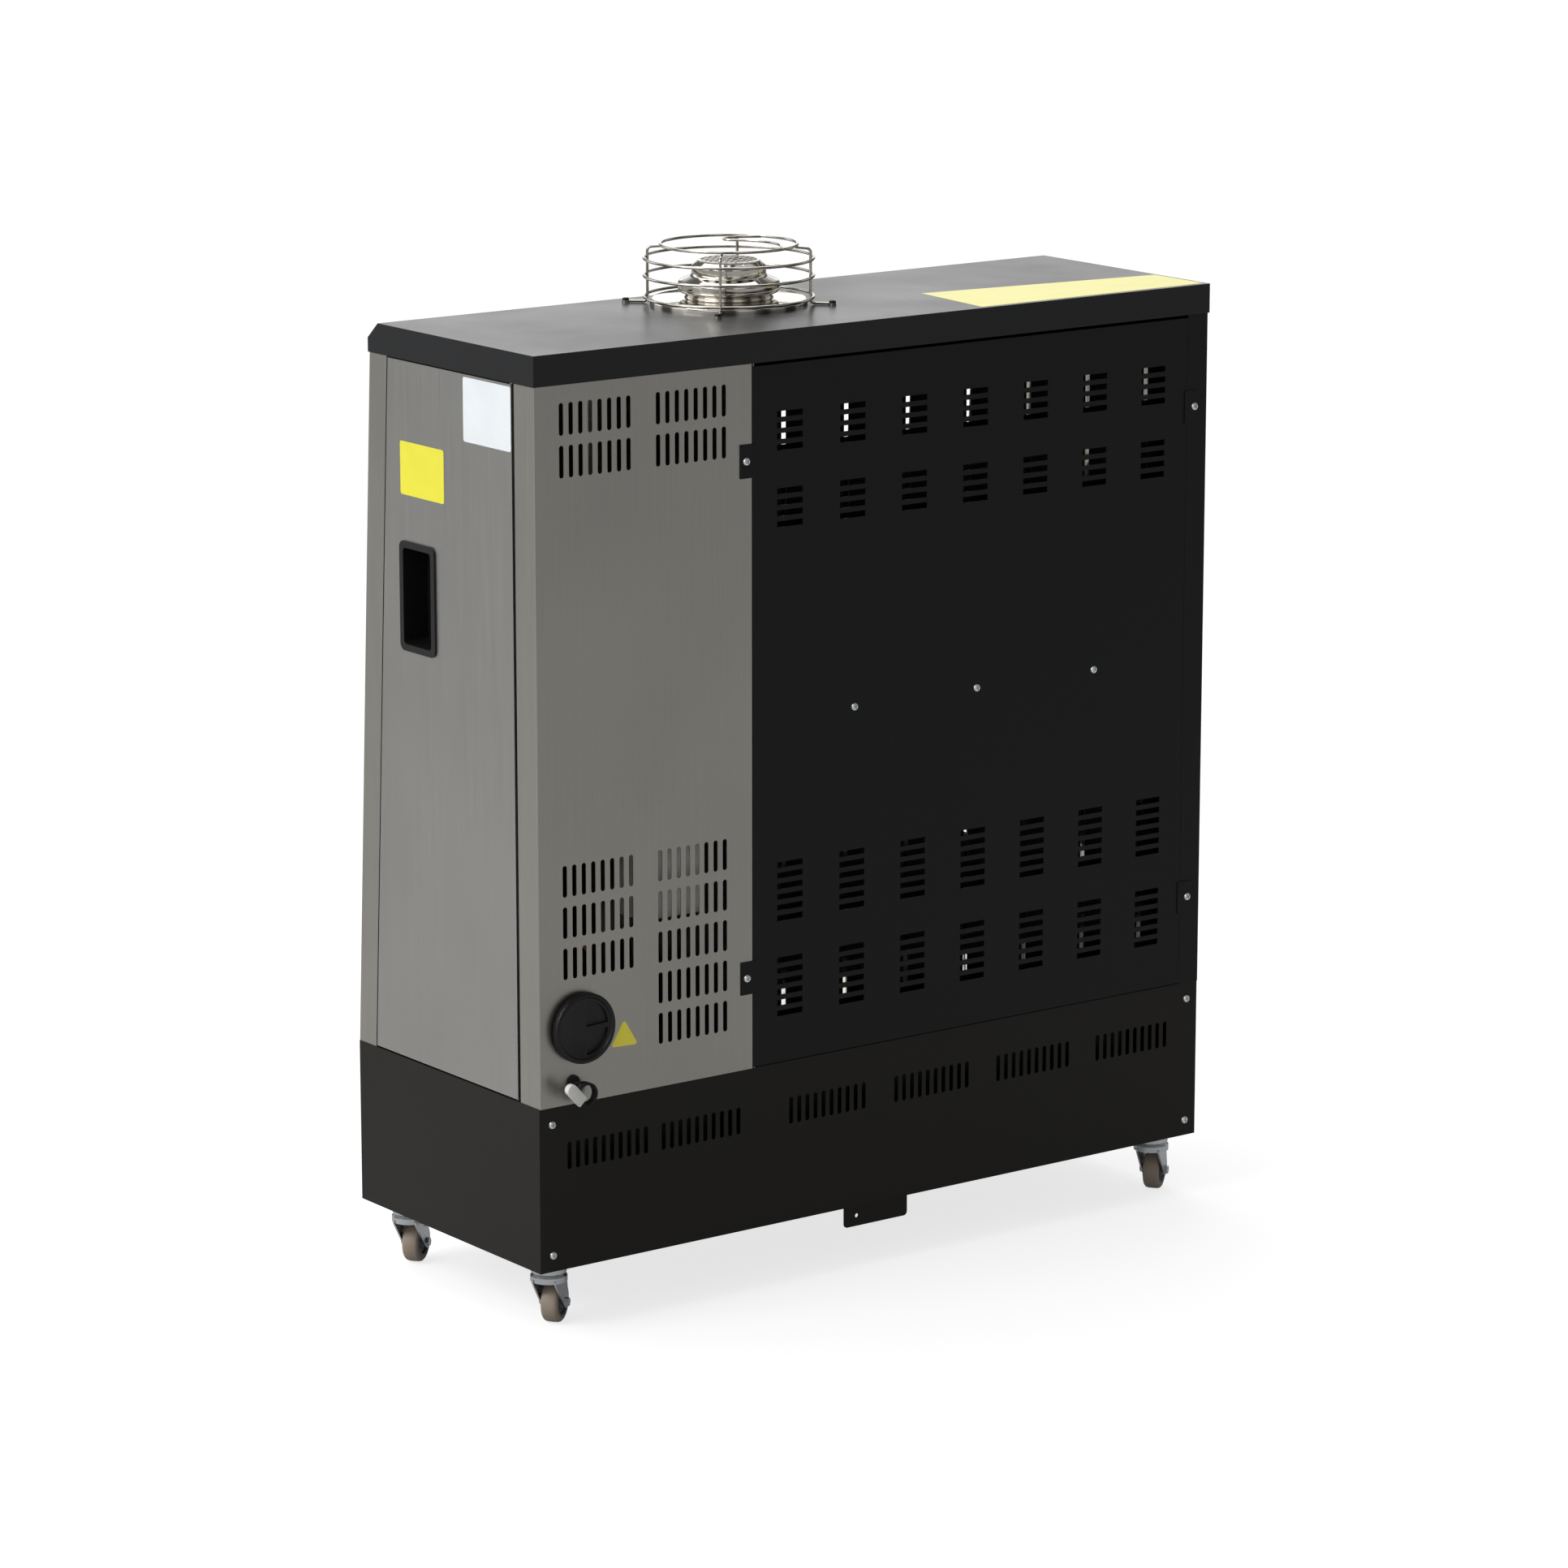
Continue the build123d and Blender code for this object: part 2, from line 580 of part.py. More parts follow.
def rear_column_panel():
    """Stainless rear panel of the burner compartment with its side flange."""
    y1 = BODY_REAR_Y
    y0 = y1 - SHEET
    x1 = BODY_HALF
    panel = block(SEAM_X, x1, y0, y1, DECK_Z, BODY_TOP_Z)
    panel += block(x1 - SHEET, x1, y1 - SIDE_FLANGE, y1, DECK_Z, BODY_TOP_Z)
    panel += block(x1 - FLANGE, x1, y1 - SIDE_FLANGE, y1 - SIDE_FLANGE + SHEET, DECK_Z, BODY_TOP_Z)
    panel += block(SEAM_X, SEAM_X + SHEET, y0 - FLANGE, y1, DECK_Z, BODY_TOP_Z)
    cuts = []
    for centre, top, rows in ((VENT_LEFT_X, VENT_TOP_Z, 2), (VENT_RIGHT_X, VENT_TOP_Z, 2),
                              (VENT_LEFT_X, VENT_LOW_Z, 3), (VENT_RIGHT_X, VENT_LOW_Z, 5)):
        xs = spread(centre, VENT_PITCH, VENT_COUNT)
        zs = [top - i * VENT_ROW_PITCH for i in range(rows)]
        cuts += slot_grid(xs, zs, VENT_WIDTH, VENT_HEIGHT, y0 - 1, y1 + 1)
    cuts.append(disc_y(CAP_X, CAP_Z, y0 - 1, y1 + 1, NECK_R - NECK_WALL))
    cuts.append(disc_y(GROMMET_X, GROMMET_Z, y0 - 1, y1 + 1, GROMMET_R))
    for z in TAB_ZS:
        cuts.append(disc_y(tab_xs()[0], z, y0 - 1, y1 + 1, SCREW_HOLE_R))
    return panel - cuts


def lean_profile(near, far, z0, z1):
    """A band that follows the leaning front, as (y, z) points."""
    return [(front_y(z0) + near, z0), (front_y(z1) + near, z1), (front_y(z1) + far, z1), (front_y(z0) + far, z0)]


def front_column_panel():
    """Stainless front panel of the burner compartment."""
    wall = SHEET * FRONT_SKEW
    panel = side_prism(lean_profile(0, wall, DECK_Z, BODY_TOP_Z), SEAM_X, BODY_HALF)
    panel += side_prism(lean_profile(0, FRONT_FLANGE, DECK_Z, BODY_TOP_Z), BODY_HALF - SHEET, BODY_HALF)
    panel += side_prism(lean_profile(0, FLANGE, DECK_Z, BODY_TOP_Z), SEAM_X, SEAM_X + SHEET)
    opening = on_front(PANEL_X, PANEL_V, -FLANGE, 1, PANEL_WIDTH - 2 * PANEL_LIP, PANEL_HEIGHT - 2 * PANEL_LIP)
    return panel - opening


def side_door():
    """Stainless end door, a shallow folded tray with a hole for its handle cup."""
    near = FRONT_FLANGE + DOOR_GAP
    z0, z1, y1 = DOOR_BOTTOM_Z, DOOR_TOP_Z, DOOR_REAR_Y
    x1 = BODY_HALF
    outer = [(front_y(z0) + near, z0), (front_y(z1) + near, z1), (y1, z1), (y1, z0)]
    w = SHEET
    a = near + w * FRONT_SKEW
    inner = [(front_y(z0 + w) + a, z0 + w), (front_y(z1 - w) + a, z1 - w), (y1 - w, z1 - w), (y1 - w, z0 + w)]
    door = side_prism(outer, x1 - DOOR_FOLD, x1) - side_prism(inner, x1 - DOOR_FOLD - 1, x1 - SHEET)
    gap = CUP_CLEARANCE
    half_y = CUP_WIDTH / 2 - CUP_LIP + gap
    half_z = CUP_HEIGHT / 2 - CUP_LIP + gap
    door -= block(x1 - FLANGE, x1 + 1, CUP_Y - half_y, CUP_Y + half_y, CUP_Z - half_z, CUP_Z + half_z)
    hole = disc_z(DOOR_PIN_X, DOOR_PIN_Y, z0 - 1, z0 + FLANGE, DOOR_PIN_R + PIN_CLEARANCE)
    hole += disc_z(DOOR_PIN_X, DOOR_PIN_Y, z1 - FLANGE, z1 + 1, DOOR_PIN_R + PIN_CLEARANCE)
    return door - hole


def handle_cup(side):
    """Moulded recessed handle in an end wall."""
    face = side * BODY_HALF
    outer = RectangleRounded(CUP_WIDTH, CUP_HEIGHT, CUP_RADIUS)
    body = RectangleRounded(CUP_WIDTH - 2 * CUP_LIP, CUP_HEIGHT - 2 * CUP_LIP, CUP_RADIUS - CUP_LIP / 2)
    inset = 2 * (CUP_LIP + CUP_WALL)
    well = RectangleRounded(CUP_WIDTH - inset, CUP_HEIGHT - inset, CUP_RADIUS - CUP_LIP / 2 - CUP_WALL / 2)
    place = Plane(origin=(face, CUP_Y, CUP_Z), x_dir=(0, 1, 0), z_dir=(side, 0, 0))
    cup = place * extrude(outer, amount=CUP_BEZEL)
    cup += place * Pos(0, 0, -CUP_DEPTH) * extrude(body, amount=CUP_DEPTH)
    return cup - place * Pos(0, 0, CUP_WALL - CUP_DEPTH) * extrude(well, amount=CUP_DEPTH + CUP_BEZEL)


def door_hinge_pins():
    """Lower and upper pins that the end door turns on."""
    reach = FLANGE - SHEET
    lower = disc_z(DOOR_PIN_X, DOOR_PIN_Y, DECK_Z, DECK_Z + reach, DOOR_PIN_R)
    upper = disc_z(DOOR_PIN_X, DOOR_PIN_Y, DOOR_TOP_Z - reach, BODY_TOP_Z, DOOR_PIN_R)
    return [lower, upper]


def end_panel():
    """Black end wall with its rear and front flanges."""
    x0 = -BODY_HALF
    y1 = BODY_REAR_Y
    outline = [(front_y(DECK_Z), DECK_Z), (front_y(BODY_TOP_Z), BODY_TOP_Z), (y1, BODY_TOP_Z), (y1, DECK_Z)]
    panel = side_prism(outline, x0, x0 + SHEET)
    margin = COVER_EDGE_X - PANEL_GAP
    panel += block(x0, margin, y1 - SHEET, y1, DECK_Z, BODY_TOP_Z)
    wall = SHEET * FRONT_SKEW
    panel += side_prism(lean_profile(0, wall, DECK_Z, BODY_TOP_Z), x0, margin)
    half_y = CUP_WIDTH / 2 - CUP_LIP + CUP_CLEARANCE
    half_z = CUP_HEIGHT / 2 - CUP_LIP + CUP_CLEARANCE
    panel -= block(x0 - 1, x0 + FLANGE, CUP_Y - half_y, CUP_Y + half_y, CUP_Z - half_z, CUP_Z + half_z)
    for z in TAB_ZS:
        panel -= disc_y(tab_xs()[1], z, y1 - FLANGE, y1 + 1, SCREW_HOLE_R)
    return panel


def partition():
    """Bulkhead between the burner compartment and the radiant side."""
    near = SHEET * FRONT_SKEW + PANEL_GAP
    z0, z1 = DECK_Z, BODY_TOP_Z
    y1 = BODY_REAR_Y - SHEET
    outline = [(front_y(z0) + near, z0), (front_y(z1) + near, z1), (y1, z1), (y1, z0)]
    sheet = side_prism(outline, PARTITION_X, PARTITION_X + SHEET)
    x1 = PARTITION_X + SHEET
    shelf = block(x1, IGNITION_X1, IGNITION_Y0, IGNITION_Y1, IGNITION_Z0 - SHEET, IGNITION_Z0)
    shelf += block(x1, x1 + SHEET, IGNITION_Y0, IGNITION_Y1, IGNITION_Z0 - 2 * FLANGE, IGNITION_Z0)
    return sheet + shelf - disc_x(FLUE_Y, CHAMBER_Z, PARTITION_X - 1, x1 + 1, BLAST_R + FLUE_HOLE_GAP)


def top_plate():
    """Heat shield across the top of the cabinet, under the lid."""
    x1 = BODY_HALF - PANEL_GAP
    y0 = front_y(BODY_TOP_Z) + PANEL_GAP
    y1 = BODY_REAR_Y - PANEL_GAP
    sheet = block(-x1, x1, y0, y1, BODY_TOP_Z, BODY_TOP_Z + SHEET)
    rise = LID_TOP_Z - SHEET
    for x in (-0.7 * x1, 0.7 * x1):
        sheet += block(x - FLANGE, x + FLANGE, y0 + 3 * FLANGE, y1 - 2 * FLANGE, rise - SHEET, rise)
        sheet += block(x - SHEET, x, y0 + 3 * FLANGE, y1 - 2 * FLANGE, BODY_TOP_Z, rise)
    return sheet - disc_z(FLUE_X, FLUE_Y, BODY_TOP_Z - 1, BODY_TOP_Z + FLANGE, TUBE_R + FLUE_HOLE_GAP)


def top_lid():
    """Black lid, a folded tray with a long chamfer along its front edge."""
    y0, y1, z0, z1 = LID_FRONT_Y, LID_REAR_Y, RIM_Z, LID_TOP_Z
    outer = [(y0, z0), (y0, z1 - LID_CHAMFER_Z), (y0 + LID_CHAMFER_Y, z1), (y1, z1), (y1, z0)]
    w = SHEET
    k = w * math.tan(math.atan2(LID_CHAMFER_Z, LID_CHAMFER_Y) / 2)
    inner = [(y0 + w, z0 - 1), (y0 + w, z1 - LID_CHAMFER_Z - k / 2), (y0 + LID_CHAMFER_Y + k, z1 - w),
             (y1 - w, z1 - w), (y1 - w, z0 - 1)]
    lid = side_prism(outer, -HALF, HALF) - side_prism(inner, -HALF + w, HALF - w)
    return lid - disc_z(FLUE_X, FLUE_Y, z1 - FLANGE, z1 + 1, TUBE_R + FLUE_HOLE_GAP)


def chimney_profile(inset):
    """Half section of the stepped outlet, moved inward by the wall."""
    top = COLLAR_Z + COLLAR_H
    lip = DISH_R - 3
    points = [
        (DISC_R - inset, 0), (DISC_R - inset, DISC_H - 2 - inset), (DISC_R - 2 - inset, DISC_H - inset),
        (TUBE_R + 2.2 - inset, DISC_H - inset), (TUBE_R + 2.2 - inset, DISH_Z - 2 + inset / 2),
        (lip - inset, DISH_Z + inset / 2), (DISH_R - inset, DISH_Z + 4), (DISH_R - inset, DISH_Z + DISH_H - 1),
        (DISH_R - 2 - inset, DISH_Z + DISH_H + 1 - inset), (COLLAR_R + 3 - inset, COLLAR_Z - 1 - inset),
        (COLLAR_R - inset, COLLAR_Z + 1), (COLLAR_R - inset, top - inset / 2),
        (COLLAR_R - 4 - inset / 2, top + 4.5 - inset), (GRATE_R, GRATE_Z - inset)]
    return points


def chimney():
    """Polished flue outlet in stepped spun sheet."""
    outline = chimney_profile(0) + chimney_profile(CHIMNEY_WALL)[::-1]
    section = make_face(Polyline(*[(r, z) for r, z in outline], close=True))
    return Pos(FLUE_X, FLUE_Y, LID_TOP_Z) * revolve(Plane.XZ * section, Axis.Z)


def chimney_grate():
    """Punched grate in the mouth of the outlet."""
    z0 = LID_TOP_Z + GRATE_Z
    disc = disc_z(FLUE_X, FLUE_Y, z0, z0 + CHIMNEY_WALL, GRATE_R + 2)
    cell, pitch = 8.0, 11.0
    cuts = []
    for i in range(-2, 3):
        for j in range(-2, 3):
            if math.hypot(i, j) * pitch < GRATE_R - cell:
                x, y = FLUE_X + i * pitch, FLUE_Y + j * pitch
                cuts.append(block(x - cell / 2, x + cell / 2, y - cell / 2, y + cell / 2, z0 - 1, z0 + 2))
    return disc - cuts


def flue_guard():
    """Welded wire cage round the outlet."""
    centre = Pos(FLUE_X, FLUE_Y, LID_TOP_Z)
    rings = [Pos(0, 0, z) * Torus(GUARD_RING_R, GUARD_WIRE_R) for z in GUARD_RING_ZS]
    rings.append(Pos(0, 0, GUARD_TOP_Z) * Torus(GUARD_TOP_R, GUARD_WIRE_R))
    cage = rings[0]
    post_r = GUARD_RING_R - GUARD_WIRE_R
    foot_z = GUARD_WIRE_R + 0.05
    posts = []
    for i in range(GUARD_POSTS):
        turn = Rot(0, 0, GUARD_ANGLE + i * 360 / GUARD_POSTS)
        route = FilletPolyline((GUARD_FOOT_R, 0, foot_z), (post_r, 0, foot_z), (post_r, 0, GUARD_TOP_Z - 4),
                               (GUARD_TOP_R - 1, 0, GUARD_TOP_Z - 2), radius=4)
        start = Plane(origin=(GUARD_FOOT_R, 0, foot_z), x_dir=(0, 1, 0), z_dir=(-1, 0, 0))
        posts.append(turn * sweep(start * Circle(GUARD_WIRE_R), path=route))
        posts.append(turn * disc_z(GUARD_FOOT_R, 0, 0, 2 * GUARD_WIRE_R, 2.6 * GUARD_WIRE_R))
    for piece in rings[1:] + posts:
        cage += piece
    return centre * cage


def tube_run(z, x0, x1):
    """A straight radiant tube."""
    return disc_x(FLUE_Y, z, x0, x1, TUBE_R) - disc_x(FLUE_Y, z, x0 - 1, x1 + 1, TUBE_R - TUBE_WALL)


def bend(x, z, start, sweep_angle):
    """A bent tube in the XZ plane about a centre, turned from a start angle."""
    ring = Circle(TUBE_R) - Circle(TUBE_R - TUBE_WALL)
    section = Plane.XY * Pos(BEND_R, 0) * ring
    turned = revolve(section, Axis.Y, sweep_angle)
    return Pos(x, FLUE_Y, z) * Rot(0, start, 0) * turned


def pass_z(index):
    return CHAMBER_Z + index * PASS_PITCH


def radiant_tubes():
    """Three upper passes with their return bends."""
    elbow_x = FLUE_X - BEND_R
    return [
        tube_run(pass_z(1), BEND_LEFT_X, BEND_RIGHT_X),
        tube_run(pass_z(2), BEND_LEFT_X, BEND_RIGHT_X),
        tube_run(pass_z(3), BEND_LEFT_X, elbow_x),
        bend(BEND_LEFT_X, pass_z(0) + BEND_R, 90, 180),
        bend(BEND_RIGHT_X, pass_z(1) + BEND_R, -90, 180),
        bend(BEND_LEFT_X, pass_z(2) + BEND_R, 90, 180),
    ]


def flue_pipe():
    """Elbow and riser from the top pass to the outlet."""
    z = pass_z(3)
    elbow = bend(FLUE_X - BEND_R, z + BEND_R, 0, 90)
    riser = disc_z(FLUE_X, FLUE_Y, z + BEND_R, RISER_TOP_Z, TUBE_R)
    riser -= disc_z(FLUE_X, FLUE_Y, z + BEND_R - 1, RISER_TOP_Z + 1, TUBE_R - TUBE_WALL)
    return elbow + riser


def combustion_chamber():
    """Wide first pass with its burner flange, outlet cone and two feet."""
    y, z = FLUE_Y, CHAMBER_Z
    shell = disc_x(y, z, CHAMBER_CONE_X, CHAMBER_END_X, CHAMBER_R)
    shell -= disc_x(y, z, CHAMBER_CONE_X - 1, CHAMBER_END_X + 1, CHAMBER_R - TUBE_WALL)
    length = CHAMBER_CONE_X - BEND_LEFT_X
    place = Pos((CHAMBER_CONE_X + BEND_LEFT_X) / 2, y, z) * Rot(0, 90, 0)
    cone = place * Cone(TUBE_R, CHAMBER_R, length)
    cone -= place * Cone(TUBE_R - TUBE_WALL, CHAMBER_R - TUBE_WALL, length)
    flange = disc_x(y, z, CHAMBER_END_X, CHAMBER_END_X + CHAMBER_FLANGE_T, CHAMBER_FLANGE_R)
    flange -= disc_x(y, z, CHAMBER_END_X - 1, CHAMBER_END_X + FLANGE, BLAST_R + PANEL_GAP)
    body = shell + cone + flange
    for x in (CHAMBER_CONE_X + 40, CHAMBER_END_X - 60):
        foot = block(x, x + 3, y - 45, y + 45, HEAT_FLOOR_Z + SHEET, z - 30)
        body += foot - disc_x(y, z, x - 1, x + 4, CHAMBER_R - TUBE_WALL / 2)
        body += block(x, x + 20, y - 45, y + 45, HEAT_FLOOR_Z + SHEET, HEAT_FLOOR_Z + SHEET + 3)
    return body


def reflector():
    """Polished lining of the radiant side: floor, roof and both wings."""
    x0, x1 = HEAT_LEFT_X, PARTITION_X
    y1 = BACK_PLATE_Y - SHEET
    z0, z1 = HEAT_FLOOR_Z, HEAT_TOP_Z
    near = (FRAME_DEPTH + 1) * FRONT_SKEW
    outline = [(front_y(z0) + near, z0), (front_y(z1) + near, z1), (y1, z1), (y1, z0)]
    lining = side_prism(outline, x0, x1)
    lining -= block(x0 + SHEET, x1 - SHEET, BASE_FRONT_Y - FLANGE, y1 + 1, z0 + SHEET, z1 - SHEET)
    lining -= disc_z(FLUE_X, FLUE_Y, z1 - FLANGE, z1 + 1, TUBE_R + FLUE_HOLE_GAP)
    lining -= disc_x(FLUE_Y, CHAMBER_Z, x1 - FLANGE, x1 + 1, BLAST_R + FLUE_HOLE_GAP)
    for x in (x0 + 40, x1 - 60):
        lining += block(x, x + 20, -100, 100, DECK_Z, z0)
    return lining


def frame_height():
    """Height of the front frame up the slope."""
    return FRONT_LENGTH + TUCK - 2 * FRAME_LIFT


def front_frame():
    """Black frame round the radiant opening."""
    x0 = COVER_EDGE_X
    x1 = SEAM_X - PANEL_GAP
    width = x1 - x0
    centre = (x0 + x1) / 2
    height = frame_height()
    v = FRAME_LIFT + height / 2
    frame = on_front(centre, v, -FRAME_DEPTH, 0, width, height)
    hole_h = height - FRAME_FOOT - FRAME_HEAD
    hole_v = FRAME_LIFT + FRAME_FOOT + hole_h / 2
    frame -= on_front(centre, hole_v, -FRAME_DEPTH - 1, 1, width - 2 * FRAME_SIDE, hole_h)
    inside = on_front(centre, v, -FRAME_DEPTH - 1, -SHEET, width - 2 * SHEET, height - 2 * SHEET)
    inside -= on_front(centre, hole_v, -FRAME_DEPTH - 2, 1, width - 2 * FRAME_SIDE + 2 * SHEET, hole_h + 2 * SHEET)
    frame -= inside
    reach = PARTITION_X - 1
    return frame - block(reach, x1 + 1, front_y(DECK_Z) + SHEET * FRONT_SKEW, 0, DECK_Z - 1, BODY_TOP_Z + 1)


def front_guard():
    """Wire guard in the radiant opening."""
    x0 = COVER_EDGE_X + FRAME_SIDE
    x1 = SEAM_X - PANEL_GAP - FRAME_SIDE
    v0 = FRAME_LIFT + FRAME_FOOT
    v1 = FRAME_LIFT + frame_height() - FRAME_HEAD
    width = x1 - x0
    centre = (x0 + x1) / 2
    count = int(width / WIRE_PITCH) - 1
    place = front_plane()
    lay = -WIRE_SINK
    bars = []
    for v in spread((v0 + v1) / 2, (v1 - v0 - 2 * FLANGE) / (WIRE_BARS - 1), WIRE_BARS):
        bars.append(place * Pos(centre, v, lay - 1.6 * WIRE_R) * Rot(0, 90, 0) * Cylinder(WIRE_R, width))
    guard = bars[0]
    rods = []
    for u in spread(centre, WIRE_PITCH, count):
        rods.append(place * Pos(u, (v0 + v1) / 2, lay) * Rot(90, 0, 0) * Cylinder(WIRE_R, v1 - v0))
    return guard.fuse(*bars[1:], *rods)


def burner_housing():
    """Cast fan housing with its blast tube and flange."""
    y, z = FLUE_Y, CHAMBER_Z
    x0 = BLAST_END_X
    x1 = x0 + FAN_HOUSING_X
    w = FAN_WALL
    body = disc_x(FAN_Y, FAN_Z, x0, x1, FAN_HOUSING_R)
    body += disc_x(y, z, CHAMBER_END_X, x0, BLAST_R)
    body += disc_x(y, z, x0, x0 + 20, BLAST_R + 8)
    body += disc_x(y, z, PARTITION_X + SHEET, PARTITION_X + SHEET + BURNER_FLANGE_T, BURNER_FLANGE_R)
    body -= disc_x(FAN_Y, FAN_Z, x0 + w, x1 - w, FAN_HOUSING_R - w)
    body -= disc_x(y, z, CHAMBER_END_X - 1, x0 + w + 1, BLAST_R - w)
    return body - disc_x(FAN_Y, FAN_Z, x1 - FLANGE, x1 + 1, FAN_SHAFT_R + 2)


def blower_wheel():
    """Fan wheel with forward blades and its shaft."""
    x0 = BLAST_END_X + FAN_WALL + 4
    place = Pos(x0, FAN_Y, FAN_Z) * Rot(0, 90, 0)
    wheel = place * Pos(0, 0, 1) * Cylinder(FAN_R, 2)
    wheel += place * Pos(0, 0, FAN_WIDTH / 2) * Cylinder(12, FAN_WIDTH)
    blade = Pos(FAN_R - FAN_BLADE_DEPTH / 2 - 1, 0, FAN_WIDTH / 2) * Rot(0, 0, 30) * Box(FAN_BLADE_DEPTH, 1.6, FAN_WIDTH)
    blades = [place * Rot(0, 0, i * 360 / FAN_BLADES) * blade for i in range(FAN_BLADES)]
    shaft_end = BLAST_END_X + FAN_HOUSING_X + 25
    return (wheel + disc_x(FAN_Y, FAN_Z, x0, shaft_end, FAN_SHAFT_R)).fuse(*blades)


def blower_motor():
    """Motor on the fan housing."""
    x0 = BLAST_END_X + FAN_HOUSING_X
    x1 = x0 + MOTOR_LENGTH
    motor = disc_x(FAN_Y, FAN_Z, x0, x0 + 8, MOTOR_R + 10)
    body = disc_x(FAN_Y, FAN_Z, x0 + 8, x1, MOTOR_R)
    motor += fillet(body.edges().filter_by(GeomType.CIRCLE).group_by(Axis.X)[-1], 6)
    return motor - disc_x(FAN_Y, FAN_Z, x0 - 1, x0 + 30, FAN_SHAFT_R + PIN_CLEARANCE)


def fuel_pump():
    """Gear pump on the end of the motor, with its inlet boss."""
    x0 = BLAST_END_X + FAN_HOUSING_X + MOTOR_LENGTH
    h = PUMP_SIZE / 2
    pump = block(x0, x0 + PUMP_LENGTH, FAN_Y - h, FAN_Y + h, FAN_Z - h, FAN_Z + h)
    pump = fillet(pump.edges().filter_by(Axis.X), 6)
    x = x0 + PUMP_LENGTH / 2
    return pump + disc_y(x, pipe_z(), FAN_Y + h, FAN_Y + h + 8, 7)


def pipe_z():
    return FAN_Z - PUMP_SIZE / 4


def fuel_filter():
    """Bowl filter standing on the deck."""
    z0 = FILTER_Z0
    foot = disc_z(FILTER_X, FILTER_Y, z0, z0 + 4, FILTER_R + 6)
    bowl = disc_z(FILTER_X, FILTER_Y, z0 + 4, z0 + FILTER_H, FILTER_R)
    bowl = fillet(bowl.edges().filter_by(GeomType.CIRCLE).group_by(Axis.Z)[-1], 5)
    return foot + bowl - disc_z(FILTER_X, FILTER_Y, z0 - 1, z0 + 8, PIPE_R + PANEL_GAP)


def fuel_line():
    """Copper pipes from the tank to the filter and on to the pump."""
    low = disc_z(FILTER_X, FILTER_Y, TANK_TOP_Z, FILTER_Z0 + 8, PIPE_R)
    x = BLAST_END_X + FAN_HOUSING_X + MOTOR_LENGTH + PUMP_LENGTH / 2
    z0 = FILTER_Z0 + FILTER_H
    y1 = FAN_Y + PUMP_SIZE / 2 + 8
    route = FilletPolyline((FILTER_X, FILTER_Y, z0), (FILTER_X, FILTER_Y, pipe_z()), (x, FILTER_Y, pipe_z()),
                           (x, y1, pipe_z()), radius=PIPE_BEND)
    start = Plane(origin=(FILTER_X, FILTER_Y, z0), x_dir=(1, 0, 0), z_dir=(0, 0, 1))
    return [low, sweep(start * Circle(PIPE_R), path=route)]


def ignition_box():
    """Light moulded box of the ignition transformer, on its shelf."""
    box = block(IGNITION_X0, IGNITION_X1, IGNITION_Y0, IGNITION_Y1, IGNITION_Z0, IGNITION_Z1)
    return fillet(box.edges().filter_by(Axis.Z), 4)


def button_us():
    return spread(PANEL_X, BUTTON_PITCH, 4)


def control_panel():
    """Moulded bezel with a window seat and four button holes."""
    v = PANEL_V
    panel = on_front(PANEL_X, v, 0, PANEL_T / 2, PANEL_WIDTH, PANEL_HEIGHT, 8)
    panel += on_front(PANEL_X, v, -PANEL_T, 0, PANEL_WIDTH - 2 * PANEL_LIP - 1, PANEL_HEIGHT - 2 * PANEL_LIP - 1)
    panel -= on_front(PANEL_X, v + WINDOW_V, PANEL_T / 2 - 2, PANEL_T, WINDOW_WIDTH, WINDOW_HEIGHT)
    for u in button_us():
        panel -= on_front(u, v + BUTTON_V, -PANEL_T - 1, PANEL_T, BUTTON_WIDTH, BUTTON_HEIGHT, 3)
    return panel


def display_window():
    """Window over the digits."""
    w0 = PANEL_T / 2 - 2
    gap = 2 * BUTTON_CLEARANCE
    return on_front(PANEL_X, PANEL_V + WINDOW_V, w0, w0 + 2, WINDOW_WIDTH - gap, WINDOW_HEIGHT - gap)


def button(u):
    """One rubber-touch button."""
    gap = 2 * BUTTON_CLEARANCE
    top = PANEL_T / 2 + BUTTON_PROUD
    back = BUTTON_TRAVEL + 0.3 - PANEL_T
    return on_front(u, PANEL_V + BUTTON_V, back, top, BUTTON_WIDTH - gap, BUTTON_HEIGHT - gap, 2.4)


def control_board():
    """Circuit board on standoffs behind the panel."""
    w1 = -PANEL_T - BOARD_DEPTH
    board = on_front(PANEL_X, PANEL_V, w1 - 1.6, w1, PANEL_WIDTH - 4 * PANEL_LIP, PANEL_HEIGHT - 3 * PANEL_LIP)
    du = PANEL_WIDTH / 2 - 3 * PANEL_LIP
    dv = PANEL_HEIGHT / 2 - 2.5 * PANEL_LIP
    for su in (-1, 1):
        for sv in (-1, 1):
            post = front_plane() * Pos(PANEL_X + su * du, PANEL_V + sv * dv, w1 + BOARD_DEPTH / 2)
            board += post * Cylinder(3, BOARD_DEPTH)
    return board


def screw(x, z, y):
    """A pan-head screw driven in along -Y, with a driver recess."""
    head = disc_y(x, z, y, y + SCREW_HEAD_H, SCREW_HEAD_R)
    head = chamfer(head.edges().filter_by(GeomType.CIRCLE).group_by(Axis.Y)[-1], 1.1)
    head += disc_y(x, z, y - SCREW_LENGTH, y, SCREW_SHANK_R)
    return head - disc_y(x, z, y + 1, y + SCREW_HEAD_H + 1, SCREW_RECESS_R)


def panel_screws():
    """All the screws that show on the back."""
    screws = [screw(x, COVER_SCREW_Z, BODY_REAR_Y) for x in COVER_SCREW_XS]
    screws += [screw(x, z, BODY_REAR_Y + SHEET) for x in tab_xs() for z in TAB_ZS]
    screws += [screw(side * BASE_SCREW_X, z, BASE_REAR_Y) for side in (-1, 1) for z in BASE_SCREW_ZS]
    return screws


